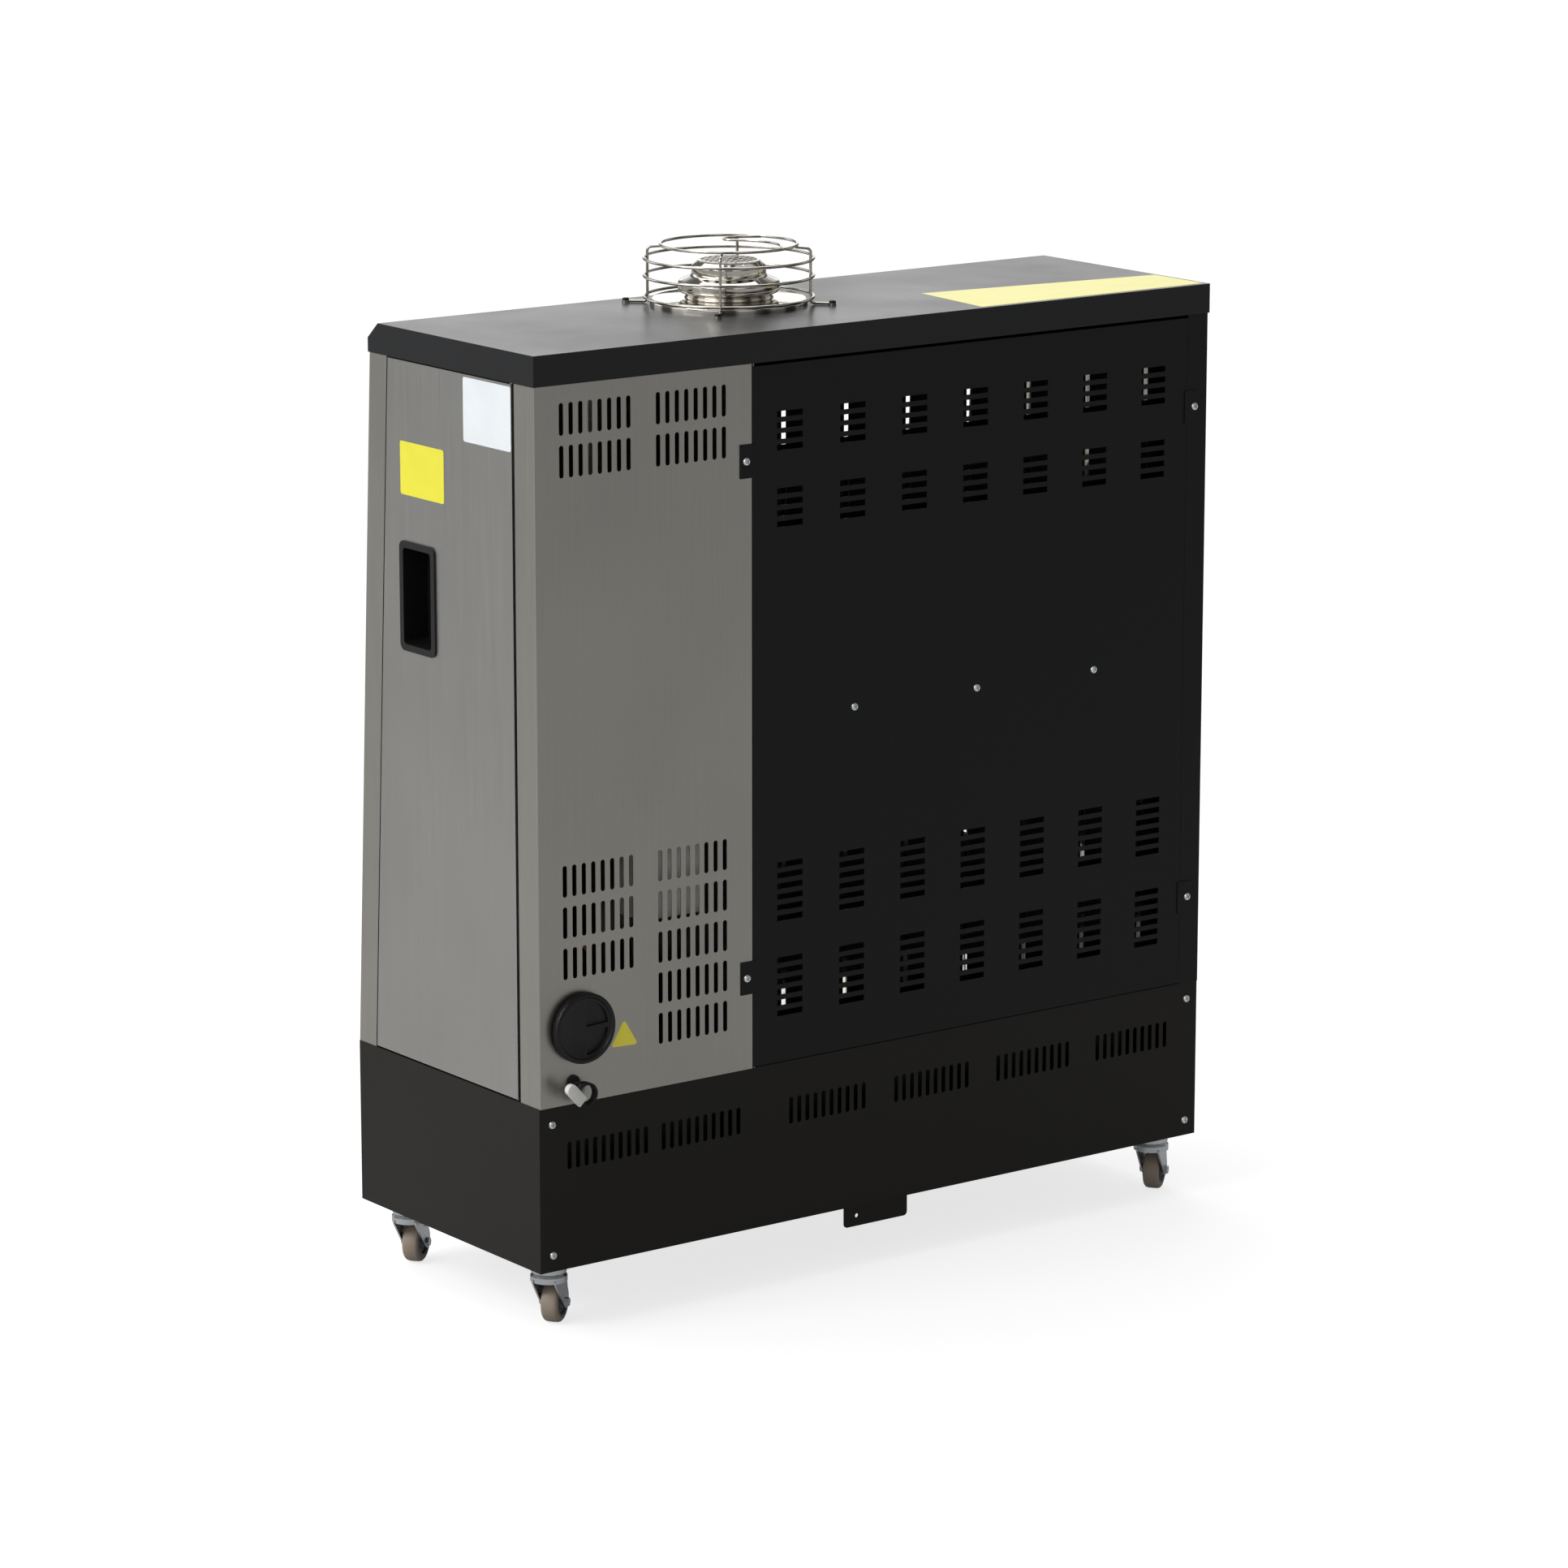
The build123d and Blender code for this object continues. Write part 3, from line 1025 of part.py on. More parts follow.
def caster_place(x, y):
    """From the caster's own frame, wheel trailing along -X, to its corner."""
    hidden = x < 0 and y < 0
    return Pos(x, y, 0) * Rot(0, 0, 180 - HEADING if hidden else HEADING)


def caster_corners():
    return {
        "front_left": (CASTER_X, CASTER_FRONT_Y),
        "front_right": (-CASTER_X, CASTER_FRONT_Y),
        "rear_left": (CASTER_X, CASTER_REAR_Y),
        "rear_right": (-CASTER_X, CASTER_REAR_Y),
    }


def caster_plates():
    """Top plates with the upper race of each swivel."""
    plates = []
    for x, y in caster_corners().values():
        h = PLATE_SIZE / 2
        plate = block(x - h, x + h, y - h, y + h, CASTER_HEIGHT - PLATE_T, CASTER_HEIGHT)
        plate = fillet(plate.edges().filter_by(Axis.Z), 5)
        plate += disc_z(x, y, RACE_Z, CASTER_HEIGHT - PLATE_T, RACE_R)
        plates.append(plate - disc_z(x, y, RACE_Z - 1, CASTER_HEIGHT - PLATE_T, KING_PIN_R + SWIVEL_GAP))
    return plates


def caster_fork(x, y, braked):
    """Pressed fork with its crown, king pin, axle bolt and any pedal pins."""
    half = WHEEL_WIDTH / 2 + FORK_GAP
    crown_top = RACE_Z - SWIVEL_GAP
    crown = Pos(0, 0, (CROWN_Z + crown_top) / 2) * Cylinder(CROWN_R, crown_top - CROWN_Z)
    crown = chamfer(crown.edges().filter_by(GeomType.CIRCLE).group_by(Axis.Z)[-1], 4)
    reach = 8.0
    leg = make_face(Polyline((CROWN_R - 3, CROWN_Z + 3), (CROWN_R - 3, CROWN_Z), (-TRAIL + reach, WHEEL_R - 3),
                             (-TRAIL, WHEEL_R - reach), (-TRAIL - reach, WHEEL_R), (-CROWN_R + 1, CROWN_Z + 3),
                             close=True))
    fork = crown
    for side in (-1, 1):
        y0 = side * (half + FORK_T / 2) + FORK_T / 2
        fork += Pos(0, y0, 0) * extrude(Plane.XZ * leg, amount=FORK_T)
    fork += Pos(0, 0, (crown_top + CASTER_HEIGHT - PLATE_T - 1) / 2) * Cylinder(
        KING_PIN_R, CASTER_HEIGHT - PLATE_T - 1 - crown_top)
    axle = Pos(-TRAIL, 0, WHEEL_R) * Rot(90, 0, 0) * Cylinder(AXLE_R, 2 * (half + FORK_T))
    for side in (-1, 1):
        nut = Pos(-TRAIL, side * (half + FORK_T + 1.5), WHEEL_R) * Rot(90, 0, 0)
        axle += nut * extrude(RegularPolygon(5.5, 6), amount=1.5, both=True)
    fork += axle
    if braked:
        outer = half + FORK_T + SWIVEL_GAP + PEDAL_T + 1
        for a, b in ((half, outer), (-outer, -half)):
            fork += disc_y(PEDAL_PIVOT_X, PEDAL_PIVOT_Z, a, b, PEDAL_PIN_R)
    return caster_place(x, y) * fork


def caster_wheel(x, y):
    """Hub and tyre of one caster."""
    r = WHEEL_R
    h = WHEEL_WIDTH / 2
    rim = r - TYRE_T
    place = caster_place(x, y) * Pos(-TRAIL, 0, r) * Rot(90, 0, 0)
    tread = Polyline((rim, -h + 1), (r - 3, -h + 1), (r, -h + 5), (r, h - 5), (r - 3, h - 1), (rim, h - 1), close=True)
    tyre = revolve(Plane.XZ * make_face(tread), Axis.Z)
    bore = AXLE_R + SWIVEL_GAP
    side = Polyline((bore, -h), (7, -h), (9, -h + 4), (rim - 3, -h + 4), (rim, -h), (rim, h),
                    (rim - 3, h - 4), (9, h - 4), (7, h), (bore, h), close=True)
    hub = revolve(Plane.XZ * make_face(side), Axis.Z)
    return [place * hub, place * tyre]


def brake_pedal(x, y):
    """Foot pedal over the trailing side of a front wheel."""
    inner = WHEEL_WIDTH / 2 + FORK_GAP + FORK_T + SWIVEL_GAP
    half = inner + PEDAL_T
    arm = make_face(Polyline((-12, 54.5), (-12, 46), (-30, 44), (-58, 36), (-60, 39), (-36, 50), (-24, 54.5), close=True))
    pedal = Pos(0, half, 0) * extrude(Plane.XZ * arm, amount=2 * half)
    pedal -= block(-52, 0, -inner, inner, 0, 57)
    pedal -= disc_y(PEDAL_PIVOT_X, PEDAL_PIVOT_Z, -half - 1, half + 1, PEDAL_PIN_R + PIN_CLEARANCE)
    return caster_place(x, y) * pedal


def sensor_grommet():
    """Rubber grommet where the lead leaves the column."""
    y1 = BODY_REAR_Y
    lip = GROMMET_R + 2.4
    ring = disc_y(GROMMET_X, GROMMET_Z, y1, y1 + 2.4, lip)
    ring += disc_y(GROMMET_X, GROMMET_Z, y1 - SHEET - 1, y1, GROMMET_R - 0.2)
    ring += disc_y(GROMMET_X, GROMMET_Z, y1 - SHEET - 3, y1 - SHEET, lip)
    return ring


def lead_points():
    """Route of the lead: out of the grommet, round its loops, to the sensor."""
    y = BODY_REAR_Y + 2.4
    cx, cz = GROMMET_X - 9.0, GROMMET_Z - 12.5
    points = [(GROMMET_X, y, GROMMET_Z), (GROMMET_X, y + 6.0, GROMMET_Z)]
    count = LOOP_STEPS * LOOP_TURNS + LOOP_STEPS // 2
    for i in range(count + 1):
        angle = math.radians(88 + 360 / LOOP_STEPS * i)
        rise = 7.0 + LOOP_PITCH * i / LOOP_STEPS
        points.append((cx + LOOP_R * math.cos(angle), y + rise, cz + LOOP_R * math.sin(angle)))
    lift = LOOP_PITCH * count / LOOP_STEPS + 7.0
    lean = math.radians(47)
    start = (cx + LOOP_R * math.sin(lean) - 4, cz - LOOP_R * math.cos(lean) - 5)
    for step, rise in ((0, 4.0), (9, 7.0), (15, 7.0)):
        points.append((start[0] + step * math.cos(lean), y + lift + rise, start[1] + step * math.sin(lean)))
    return points


def sensor_lead():
    """Thin black lead wound in small loops."""
    points = lead_points()
    radii = []
    for a, b, c in zip(points, points[1:], points[2:]):
        turn = (Vector(*b) - Vector(*a)).get_angle(Vector(*c) - Vector(*b))
        run = min((Vector(*b) - Vector(*a)).length, (Vector(*c) - Vector(*b)).length)
        radii.append(0.45 * run / math.tan(math.radians(turn / 2)))
    turns = [p for p in points[2:] if p[1] < points[-3][1]]
    least = min((Vector(*p) - Vector(*q)).length for i, p in enumerate(turns)
                for q in turns[i + LOOP_STEPS - 1:]) - 2 * LEAD_R
    print("lead radii", [round(r, 1) for r in radii])
    print("least gap between turns", round(least, 2))
    route = FilletPolyline(*points, radius=radii)
    start = Plane(origin=points[0], x_dir=(1, 0, 0), z_dir=(0, 1, 0))
    lead = sweep(start * Circle(LEAD_R), path=route)
    print("lead length", round(route.length, 1), "volume ratio",
          round(lead.volume / (math.pi * LEAD_R ** 2 * route.length), 4))
    return lead


def sensor_housing():
    """Flat moulded room sensor, round at one end."""
    points = lead_points()
    end, before = Vector(*points[-1]), Vector(*points[-2])
    way = (end - before).normalized()
    z_dir = Vector(0, 1, 0)
    x_dir = (way - z_dir * way.dot(z_dir)).normalized()
    place = Plane(origin=end, x_dir=x_dir, z_dir=z_dir)
    width, length, thick = SENSOR_WIDTH, SENSOR_LENGTH, SENSOR_T
    body = Pos(length / 2 - width / 4, 0) * Rectangle(length - width / 2, width)
    body += Pos(length - width / 2, 0) * Circle(width / 2)
    shell = place * Pos(0, 0, -thick / 2) * extrude(body, amount=thick)
    for step in (-3.5, 3.5):
        shell -= place * Pos(length - width / 2 + step, 0, thick / 2 - 2) * Cylinder(1.2, 6)
    return shell


keep("base_pan", base_pan())
keep("base_skirt", base_skirt())
keep("base_rear_panel", base_rear_panel())
keep("base_deck", base_deck())
keep("fuel_tank", fuel_tank())
keep("filler_neck", filler_neck())
keep("fuel_cap", fuel_cap())
keep("cap_gasket", cap_gasket())
keep("drain_guard", drain_guard())
keep("fuel_gauge", fuel_gauge())
keep("rear_cover", rear_cover())
keep("inner_back_plate", inner_back_plate())
keep("rear_column_panel", rear_column_panel())
keep("front_column_panel", front_column_panel())
keep("side_door", side_door())
keep("door_handle_cup", handle_cup(1))
keep("end_handle_cup", handle_cup(-1))
keep("door_hinge_pins", door_hinge_pins())
keep("end_panel", end_panel())
keep("partition", partition())
keep("top_plate", top_plate())
keep("top_lid", top_lid())
keep("chimney", chimney())
keep("chimney_grate", chimney_grate())
keep("flue_guard", flue_guard())
keep("combustion_chamber", combustion_chamber())
keep("radiant_tubes", radiant_tubes())
keep("flue_pipe", flue_pipe())
keep("reflector", reflector())
keep("front_frame", front_frame())
keep("front_guard", front_guard())
keep("burner_housing", burner_housing())
keep("blower_wheel", blower_wheel())
keep("blower_motor", blower_motor())
keep("fuel_pump", fuel_pump())
keep("fuel_filter", fuel_filter())
keep("fuel_line", fuel_line())
keep("ignition_box", ignition_box())
keep("control_panel", control_panel())
keep("display_window", display_window())
for name, u in zip(("power_button", "timer_button", "warmer_button", "cooler_button"), button_us()):
    keep(name, button(u))
keep("control_board", control_board())
keep("panel_screws", panel_screws())
keep("caster_plates", caster_plates())
for corner, (x, y) in caster_corners().items():
    braked = corner.startswith("front")
    keep(f"caster_fork_{corner}", caster_fork(x, y, braked))
    keep(f"caster_wheel_{corner}", caster_wheel(x, y))
    if braked:
        keep(f"brake_pedal_{corner}", brake_pedal(x, y))
keep("sensor_grommet", sensor_grommet())
keep("sensor_lead", sensor_lead())
keep("sensor_housing", sensor_housing())
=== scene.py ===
import math

import bmesh
import bpy
from mathutils import Matrix, Vector


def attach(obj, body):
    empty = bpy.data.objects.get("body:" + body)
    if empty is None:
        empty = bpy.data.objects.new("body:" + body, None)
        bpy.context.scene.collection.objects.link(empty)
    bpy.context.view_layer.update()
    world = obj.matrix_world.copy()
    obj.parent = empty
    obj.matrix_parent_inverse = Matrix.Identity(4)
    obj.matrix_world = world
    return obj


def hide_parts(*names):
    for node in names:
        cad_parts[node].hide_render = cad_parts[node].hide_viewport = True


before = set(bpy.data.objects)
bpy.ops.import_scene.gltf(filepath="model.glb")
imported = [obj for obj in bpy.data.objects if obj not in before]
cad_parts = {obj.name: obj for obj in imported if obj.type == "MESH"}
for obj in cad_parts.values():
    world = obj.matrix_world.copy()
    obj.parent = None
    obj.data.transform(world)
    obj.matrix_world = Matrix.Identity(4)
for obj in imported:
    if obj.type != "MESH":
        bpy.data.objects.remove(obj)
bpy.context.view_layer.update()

# Sizes are written in millimetres and turned to metres with MM.
MM = 0.001

# Places that the casing gives
SHEET = 1.2
REAR_Y = 188.4
BASE_REAR_Y = 186.8
LID_TOP_Z = 1159.0
DOOR_X = 498.4
SEAM_X = 193.6
DECK_Z = 279.0
BASE_Z = 80.0
FLUE_X = 76.0
FLUE_Y = -18.0

# The camera, fitted to the corners of the cabinet. Its focal length is in the photograph's
# pixels.
CAMERA_PLACE = (4198.0, 5641.9, 2153.0)
CAMERA_TARGET = (7.503, 0.0, 565.687)
FOCAL_PIXELS = 7279.95
PHOTO_PIXELS = 1932
SENSOR_MM = 36.0

# Colours of the finishes, as sRGB
COAT_BLACK = "#101113"
COAT_BASE = "#151310"
COAT_LID = "#131416"
STEEL_PANEL = "#a3a09a"
# The door's stainless is set a shade lighter than the panel's: painted light for the lit end of
# the cabinet
STEEL_DOOR_LIT = "#a6a5a2"
STEEL_BRIGHT = "#c9c5bd"
STEEL_WIRE = "#b3afa7"
# The screws' zinc is far lighter than the other zinc plate: painted highlight, standing in for the
# bright glint on the heads
SCREW_ZINC_HIGHLIGHT = "#e9ebed"
ZINC = "#c3c6c9"
GALVANISED = "#9a9c9b"
PLASTIC_BLACK = "#0e0e0e"
RUBBER_BLACK = "#101010"
PLASTIC_LIGHT = "#cfcfca"
TREAD_TAUPE = "#8c7f70"
HUB_GREY = "#4c4e50"
CERAMIC_COAT = "#3b3733"
CAST_ALLOY = "#8f9092"
COPPER = "#b87450"
MOTOR_ENAMEL = "#1d2024"
BOARD_GREEN = "#1f5132"
KEY_GREY = "#85878a"
WINDOW_SMOKED = "#0c0d10"
VINYL_YELLOW = "#dcd42c"
# The triangle is the same yellow vinyl as the door sticker, set lighter as painted light against
# the shade on the rear
VINYL_TRIANGLE_LIT = "#f2e540"
VINYL_PALE = "#cfc85c"
VINYL_WHITE = "#d6dbde"

# A noise hardly leaves these values, so they are spread over a pattern's whole range
NOISE_LOW = 0.3
NOISE_HIGH = 0.7

# How much a hair line of brushed steel is drawn out along its grain
HAIR_STRETCH = 0.012


def mm(*values):
    """A point or size in millimetres, as a vector in metres."""
    return Vector([v * MM for v in values])


def linear(code):
    """An sRGB hex colour as the linear colour that a shader takes."""
    parts = [int(code[i:i + 2], 16) / 255 for i in (1, 3, 5)]
    return (*[c / 12.92 if c <= 0.04045 else ((c + 0.055) / 1.055) ** 2.4 for c in parts], 1.0)


def add(tree, kind, inputs=None, **settings):
    """Add a node, set its properties, and set or link its inputs."""
    node = tree.nodes.new(kind)
    for name, value in settings.items():
        setattr(node, name, value)
    for key, value in (inputs or {}).items():
        if isinstance(value, bpy.types.NodeSocket):
            tree.links.new(value, node.inputs[key])
        else:
            node.inputs[key].default_value = value
    return node


def blank_material(name):
    """A new material, with its tree and its shader."""
    material = bpy.data.materials.new(name)
    material.use_nodes = True
    tree = material.node_tree
    return material, tree, tree.nodes["Principled BSDF"]


def coordinates(tree, stretch=(1.0, 1.0, 1.0)):
    """Object coordinates, stretched for a grain that runs one way."""
    place = add(tree, "ShaderNodeTexCoord").outputs["Object"]
    return add(tree, "ShaderNodeMapping", {"Vector": place, "Scale": stretch}).outputs[0]


def noise(tree, size, stretch=(1.0, 1.0, 1.0), detail=2.0):
    """A noise whose spots measure size millimetres."""
    return add(tree, "ShaderNodeTexNoise", {
        "Vector": coordinates(tree, stretch), "Scale": 1 / (size * MM),
        "Detail": detail}).outputs["Fac"]


def roughened(tree, shader, value, low, high):
    """A roughness that a noise value takes from low to high."""
    rough = add(tree, "ShaderNodeMapRange", {
        "Value": value, "From Min": NOISE_LOW, "From Max": NOISE_HIGH,
        "To Min": low, "To Max": high})
    tree.links.new(rough.outputs[0], shader.inputs["Roughness"])


def coloured(tree, shader, code, value, depth):
    """A colour that a noise value darkens and lightens by a share of itself."""
    colour = Vector(linear(code)[:3])
    low, high = colour * (1 - depth), colour * (1 + depth)
    share = add(tree, "ShaderNodeMapRange", {
        "Value": value, "From Min": NOISE_LOW, "From Max": NOISE_HIGH})
    mixed = add(tree, "ShaderNodeMix", {0: share.outputs[0], 6: (*low, 1), 7: (*high, 1)},
                data_type="RGBA")
    tree.links.new(mixed.outputs[2], shader.inputs["Base Color"])


def bumped(tree, shader, height, depth, strength):
    """Relief of a depth in millimetres on the shader."""
    bump = add(tree, "ShaderNodeBump", {
        "Height": height, "Distance": depth * MM, "Strength": strength})
    tree.links.new(bump.outputs[0], shader.inputs["Normal"])


def powder_coat(name, code, roughness, level):
    """Satin polyester powder coat: a soft even sheen over fine orange peel.
    Real orange peel is under 1 mm across; it is drawn at 3 mm so that it shows."""
    material, tree, shader = blank_material(name)
    cloud = noise(tree, 140.0, detail=3.0)
    coloured(tree, shader, code, cloud, 0.10)
    roughened(tree, shader, cloud, roughness - 0.03, roughness + 0.04)
    shader.inputs["Specular IOR Level"].default_value = level
    bumped(tree, shader, noise(tree, 3.0), 0.06, 0.35)
    return material


def brushed_steel(name, code, roughness, along):
    """Brushed stainless sheet: hair lines that run one way, with a faint cloudiness. Real lines
    are about 0.1 mm apart; they are drawn at 1.6 mm so that they show."""
    material, tree, shader = blank_material(name)
    stretch = [1.0, 1.0, 1.0]
    stretch["xyz".index(along)] = HAIR_STRETCH
    lines = noise(tree, 1.6, stretch, detail=3.0)
    cloud = noise(tree, 220.0, detail=2.0)
    streak = add(tree, "ShaderNodeMath", {0: lines, 1: cloud}, operation="ADD")
    both = add(tree, "ShaderNodeMath", {0: streak.outputs[0], 1: 0.5},
               operation="MULTIPLY").outputs[0]
    coloured(tree, shader, code, both, 0.07)
    roughened(tree, shader, lines, roughness - 0.04, roughness + 0.05)
    shader.inputs["Metallic"].default_value = 1.0
    bumped(tree, shader, lines, 0.02, 0.25)
    return material


def bright_metal(name, code, roughness, grain=2.0, depth=0.02):
    """Polished or plated metal: sharp reflections with a faint waviness from spinning or
    drawing."""
    material, tree, shader = blank_material(name)
    wave = noise(tree, grain, detail=2.0)
    coloured(tree, shader, code, noise(tree, 30.0), 0.05)
    roughened(tree, shader, wave, roughness * 0.8, roughness * 1.3)
    shader.inputs["Metallic"].default_value = 1.0
    bumped(tree, shader, wave, depth, 0.3)
    return material


def galvanised_sheet(name, code, size=9.0):
    """Hot-dip galvanised sheet: dull zinc with spangles whose size is given."""
    material, tree, shader = blank_material(name)
    spangle = add(tree, "ShaderNodeTexVoronoi", {
        "Vector": coordinates(tree), "Scale": 1 / (size * MM)})
    grey = add(tree, "ShaderNodeSeparateColor", {0: spangle.outputs["Color"]}).outputs[0]
    colour = Vector(linear(code)[:3])
    mixed = add(tree, "ShaderNodeMix", {
        0: grey, 6: (*(colour * 0.8), 1), 7: (*(colour * 1.15), 1)}, data_type="RGBA")
    tree.links.new(mixed.outputs[2], shader.inputs["Base Color"])
    rough = add(tree, "ShaderNodeMapRange", {"Value": grey, "To Min": 0.32, "To Max": 0.5})
    tree.links.new(rough.outputs[0], shader.inputs["Roughness"])
    shader.inputs["Metallic"].default_value = 1.0
    return material


def moulded(name, code, roughness, grain, depth, level=0.5, metallic=0.0):
    """Moulded plastic or rubber, or cast metal: an even colour under the mould's fine grain."""
    material, tree, shader = blank_material(name)
    coloured(tree, shader, code, noise(tree, 25.0), 0.06)
    roughened(tree, shader, noise(tree, grain * 4), roughness - 0.05, roughness + 0.05)
    shader.inputs["Specular IOR Level"].default_value = level
    shader.inputs["Metallic"].default_value = metallic
    bumped(tree, shader, noise(tree, grain), depth, 0.5)
    return material


def ceramic_coat(name, code):
    """Matt high-temperature coating on the tubes: dry, with faint heat clouds."""
    material, tree, shader = blank_material(name)
    cloud = noise(tree, 60.0, detail=4.0)
    coloured(tree, shader, code, cloud, 0.25)
    roughened(tree, shader, cloud, 0.6, 0.8)
    shader.inputs["Specular IOR Level"].default_value = 0.3
    bumped(tree, shader, noise(tree, 1.5), 0.05, 0.5)
    return material


def vinyl(name, code):
    """Vinyl sticker: a plain colour under a thin clear film."""
    material, tree, shader = blank_material(name)
    coloured(tree, shader, code, noise(tree, 40.0), 0.03)
    shader.inputs["Roughness"].default_value = 0.4
    shader.inputs["Coat Weight"].default_value = 0.3
    shader.inputs["Coat Roughness"].default_value = 0.25
    bumped(tree, shader, noise(tree, 18.0), 0.05, 0.2)
    return material


def smoked_acrylic(name, code):
    """Smoked acrylic over the digits: nearly black, glossy."""
    material, tree, shader = blank_material(name)
    coloured(tree, shader, code, noise(tree, 30.0), 0.1)
    shader.inputs["Roughness"].default_value = 0.08
    return material


coat_cover = powder_coat("powder_coat_cover", COAT_BLACK, 0.44, 0.2)
coat_base = powder_coat("powder_coat_base", COAT_BASE, 0.46, 0.22)
coat_lid = powder_coat("powder_coat_lid", COAT_LID, 0.3, 0.3)
steel_panel = brushed_steel("brushed_stainless_panel", STEEL_PANEL, 0.36, "z")
# Lighter copy of the same brushed stainless: painted light on the door
steel_door_lit = brushed_steel("brushed_stainless_door_lit", STEEL_DOOR_LIT, 0.36, "z")
steel_bright = bright_metal("polished_stainless", STEEL_BRIGHT, 0.07)
steel_wire = bright_metal("nickel_plated_wire", STEEL_WIRE, 0.12, 4.0)
# Near-white zinc on the screws: painted highlight on the heads
screw_zinc_highlight = bright_metal("screw_zinc_painted_highlight", SCREW_ZINC_HIGHLIGHT, 0.34, 1.0)
zinc_plate = bright_metal("bright_zinc_plate", ZINC, 0.26, 1.2)
galvanised = galvanised_sheet("galvanised_sheet", GALVANISED)
plastic_black = moulded("moulded_black_nylon", PLASTIC_BLACK, 0.4, 0.8, 0.04, 0.32)
rubber_black = moulded("nitrile_rubber", RUBBER_BLACK, 0.62, 0.8, 0.03, 0.3)
plastic_light = moulded("moulded_light_abs", PLASTIC_LIGHT, 0.42, 0.8, 0.03)
tread_taupe = moulded("polyurethane_tread", TREAD_TAUPE, 0.5, 1.2, 0.03)
hub_grey = moulded("moulded_grey_nylon", HUB_GREY, 0.45, 0.8, 0.03)
tube_coat = ceramic_coat("ceramic_tube_coat", CERAMIC_COAT)
cast_alloy = moulded("die_cast_aluminium", CAST_ALLOY, 0.45, 1.0, 0.06, metallic=1.0)
copper_tube = bright_metal("drawn_copper", COPPER, 0.3, 3.0)
motor_enamel = powder_coat("motor_enamel", MOTOR_ENAMEL, 0.4, 0.4)
board_green = moulded("solder_mask", BOARD_GREEN, 0.35, 3.0, 0.02)
key_grey = moulded("silicone_key", KEY_GREY, 0.55, 0.8, 0.03)
window_smoked = smoked_acrylic("smoked_acrylic", WINDOW_SMOKED)
vinyl_yellow = vinyl("vinyl_yellow", VINYL_YELLOW)
# Lightened copy of the yellow vinyl: painted light on the shaded rear
vinyl_triangle_lit = vinyl("vinyl_yellow_painted_light", VINYL_TRIANGLE_LIT)
vinyl_pale = vinyl("vinyl_pale_yellow", VINYL_PALE)
vinyl_white = vinyl("vinyl_white", VINYL_WHITE)

FINISHES = {
    coat_cover: ["rear_cover", "end_panel", "front_frame"],
    # The fuel tank, base pan and inner back plate take the black base coat; this is partly painted
    # shade, so that what shows through the slots stays dark
    coat_base: ["base_skirt", "base_rear_panel", "base_deck", "drain_guard", "base_pan",
                "fuel_tank", "inner_back_plate"],
    coat_lid: ["top_lid"],
    steel_panel: ["rear_column_panel", "front_column_panel"],
    steel_door_lit: ["side_door"],
    steel_bright: ["chimney", "chimney_grate", "reflector"],
    steel_wire: ["flue_guard", "front_guard"],
    zinc_plate: ["door_hinge_pins", "panel_screws", "caster_plates", "caster_fork_front_left",
                 "caster_fork_front_right", "caster_fork_rear_left", "caster_fork_rear_right",
                 "brake_pedal_front_left", "brake_pedal_front_right"],
    galvanised: ["partition", "top_plate", "filler_neck"],
    plastic_black: ["fuel_cap", "door_handle_cup", "end_handle_cup", "control_panel",
                    "fuel_gauge"],
    rubber_black: ["cap_gasket", "sensor_grommet", "sensor_lead"],
    plastic_light: ["ignition_box", "sensor_housing"],
    tread_taupe: ["caster_wheel_front_left", "caster_wheel_front_right",
                  "caster_wheel_rear_left", "caster_wheel_rear_right"],
    tube_coat: ["combustion_chamber", "radiant_tubes", "flue_pipe"],
    cast_alloy: ["burner_housing", "fuel_pump", "fuel_filter", "blower_wheel"],
    copper_tube: ["fuel_line"],
    motor_enamel: ["blower_motor"],
    board_green: ["control_board"],
    key_grey: ["power_button", "timer_button", "warmer_button", "cooler_button"],
    window_smoked: ["display_window"],
}
for finish, names in FINISHES.items():
    for name in names:
        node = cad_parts[name]
        for socket in node.material_slots:
            socket.material = finish
        if not node.material_slots:
            node.data.materials.append(finish)

# The body that all fixed pieces ride on
CABINET = "cabinet"


def piece(name, mesh, material, body, slot, *replaced, sharp=32.0):
    """Put a finished mesh in the scene, riding on its body."""
    mesh.name = name
    mesh.materials.clear()
    mesh.materials.append(material)
    mesh.shade_smooth()
    mesh.set_sharp_from_angle(angle=math.radians(sharp))
    item = bpy.data.objects.new(name, mesh)
    bpy.context.scene.collection.objects.link(item)
    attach(item, body)
    if replaced:
        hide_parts(*replaced)
    return item


def mesh_of(bm):
    """A mesh with clean outward faces from a bmesh."""
    bmesh.ops.remove_doubles(bm, verts=bm.verts, dist=0.002 * MM)
    bmesh.ops.recalc_face_normals(bm, faces=bm.faces)
    mesh = bpy.data.meshes.new("mesh")
    bm.to_mesh(mesh)
    bm.free()
    return mesh


def evaluated(item):
    """The plain mesh that an object's modifiers give, and the object removed."""
    bpy.context.view_layer.update()
    graph = bpy.context.evaluated_depsgraph_get()
    mesh = bpy.data.meshes.new_from_object(item.evaluated_get(graph), depsgraph=graph)
    bpy.data.objects.remove(item)
    return mesh


def joined(meshes):
    """Several meshes as one."""
    bm = bmesh.new()
    for mesh in meshes:
        bm.from_mesh(mesh)
    result = bpy.data.meshes.new("joined")
    bm.to_mesh(result)
    bm.free()
    return result


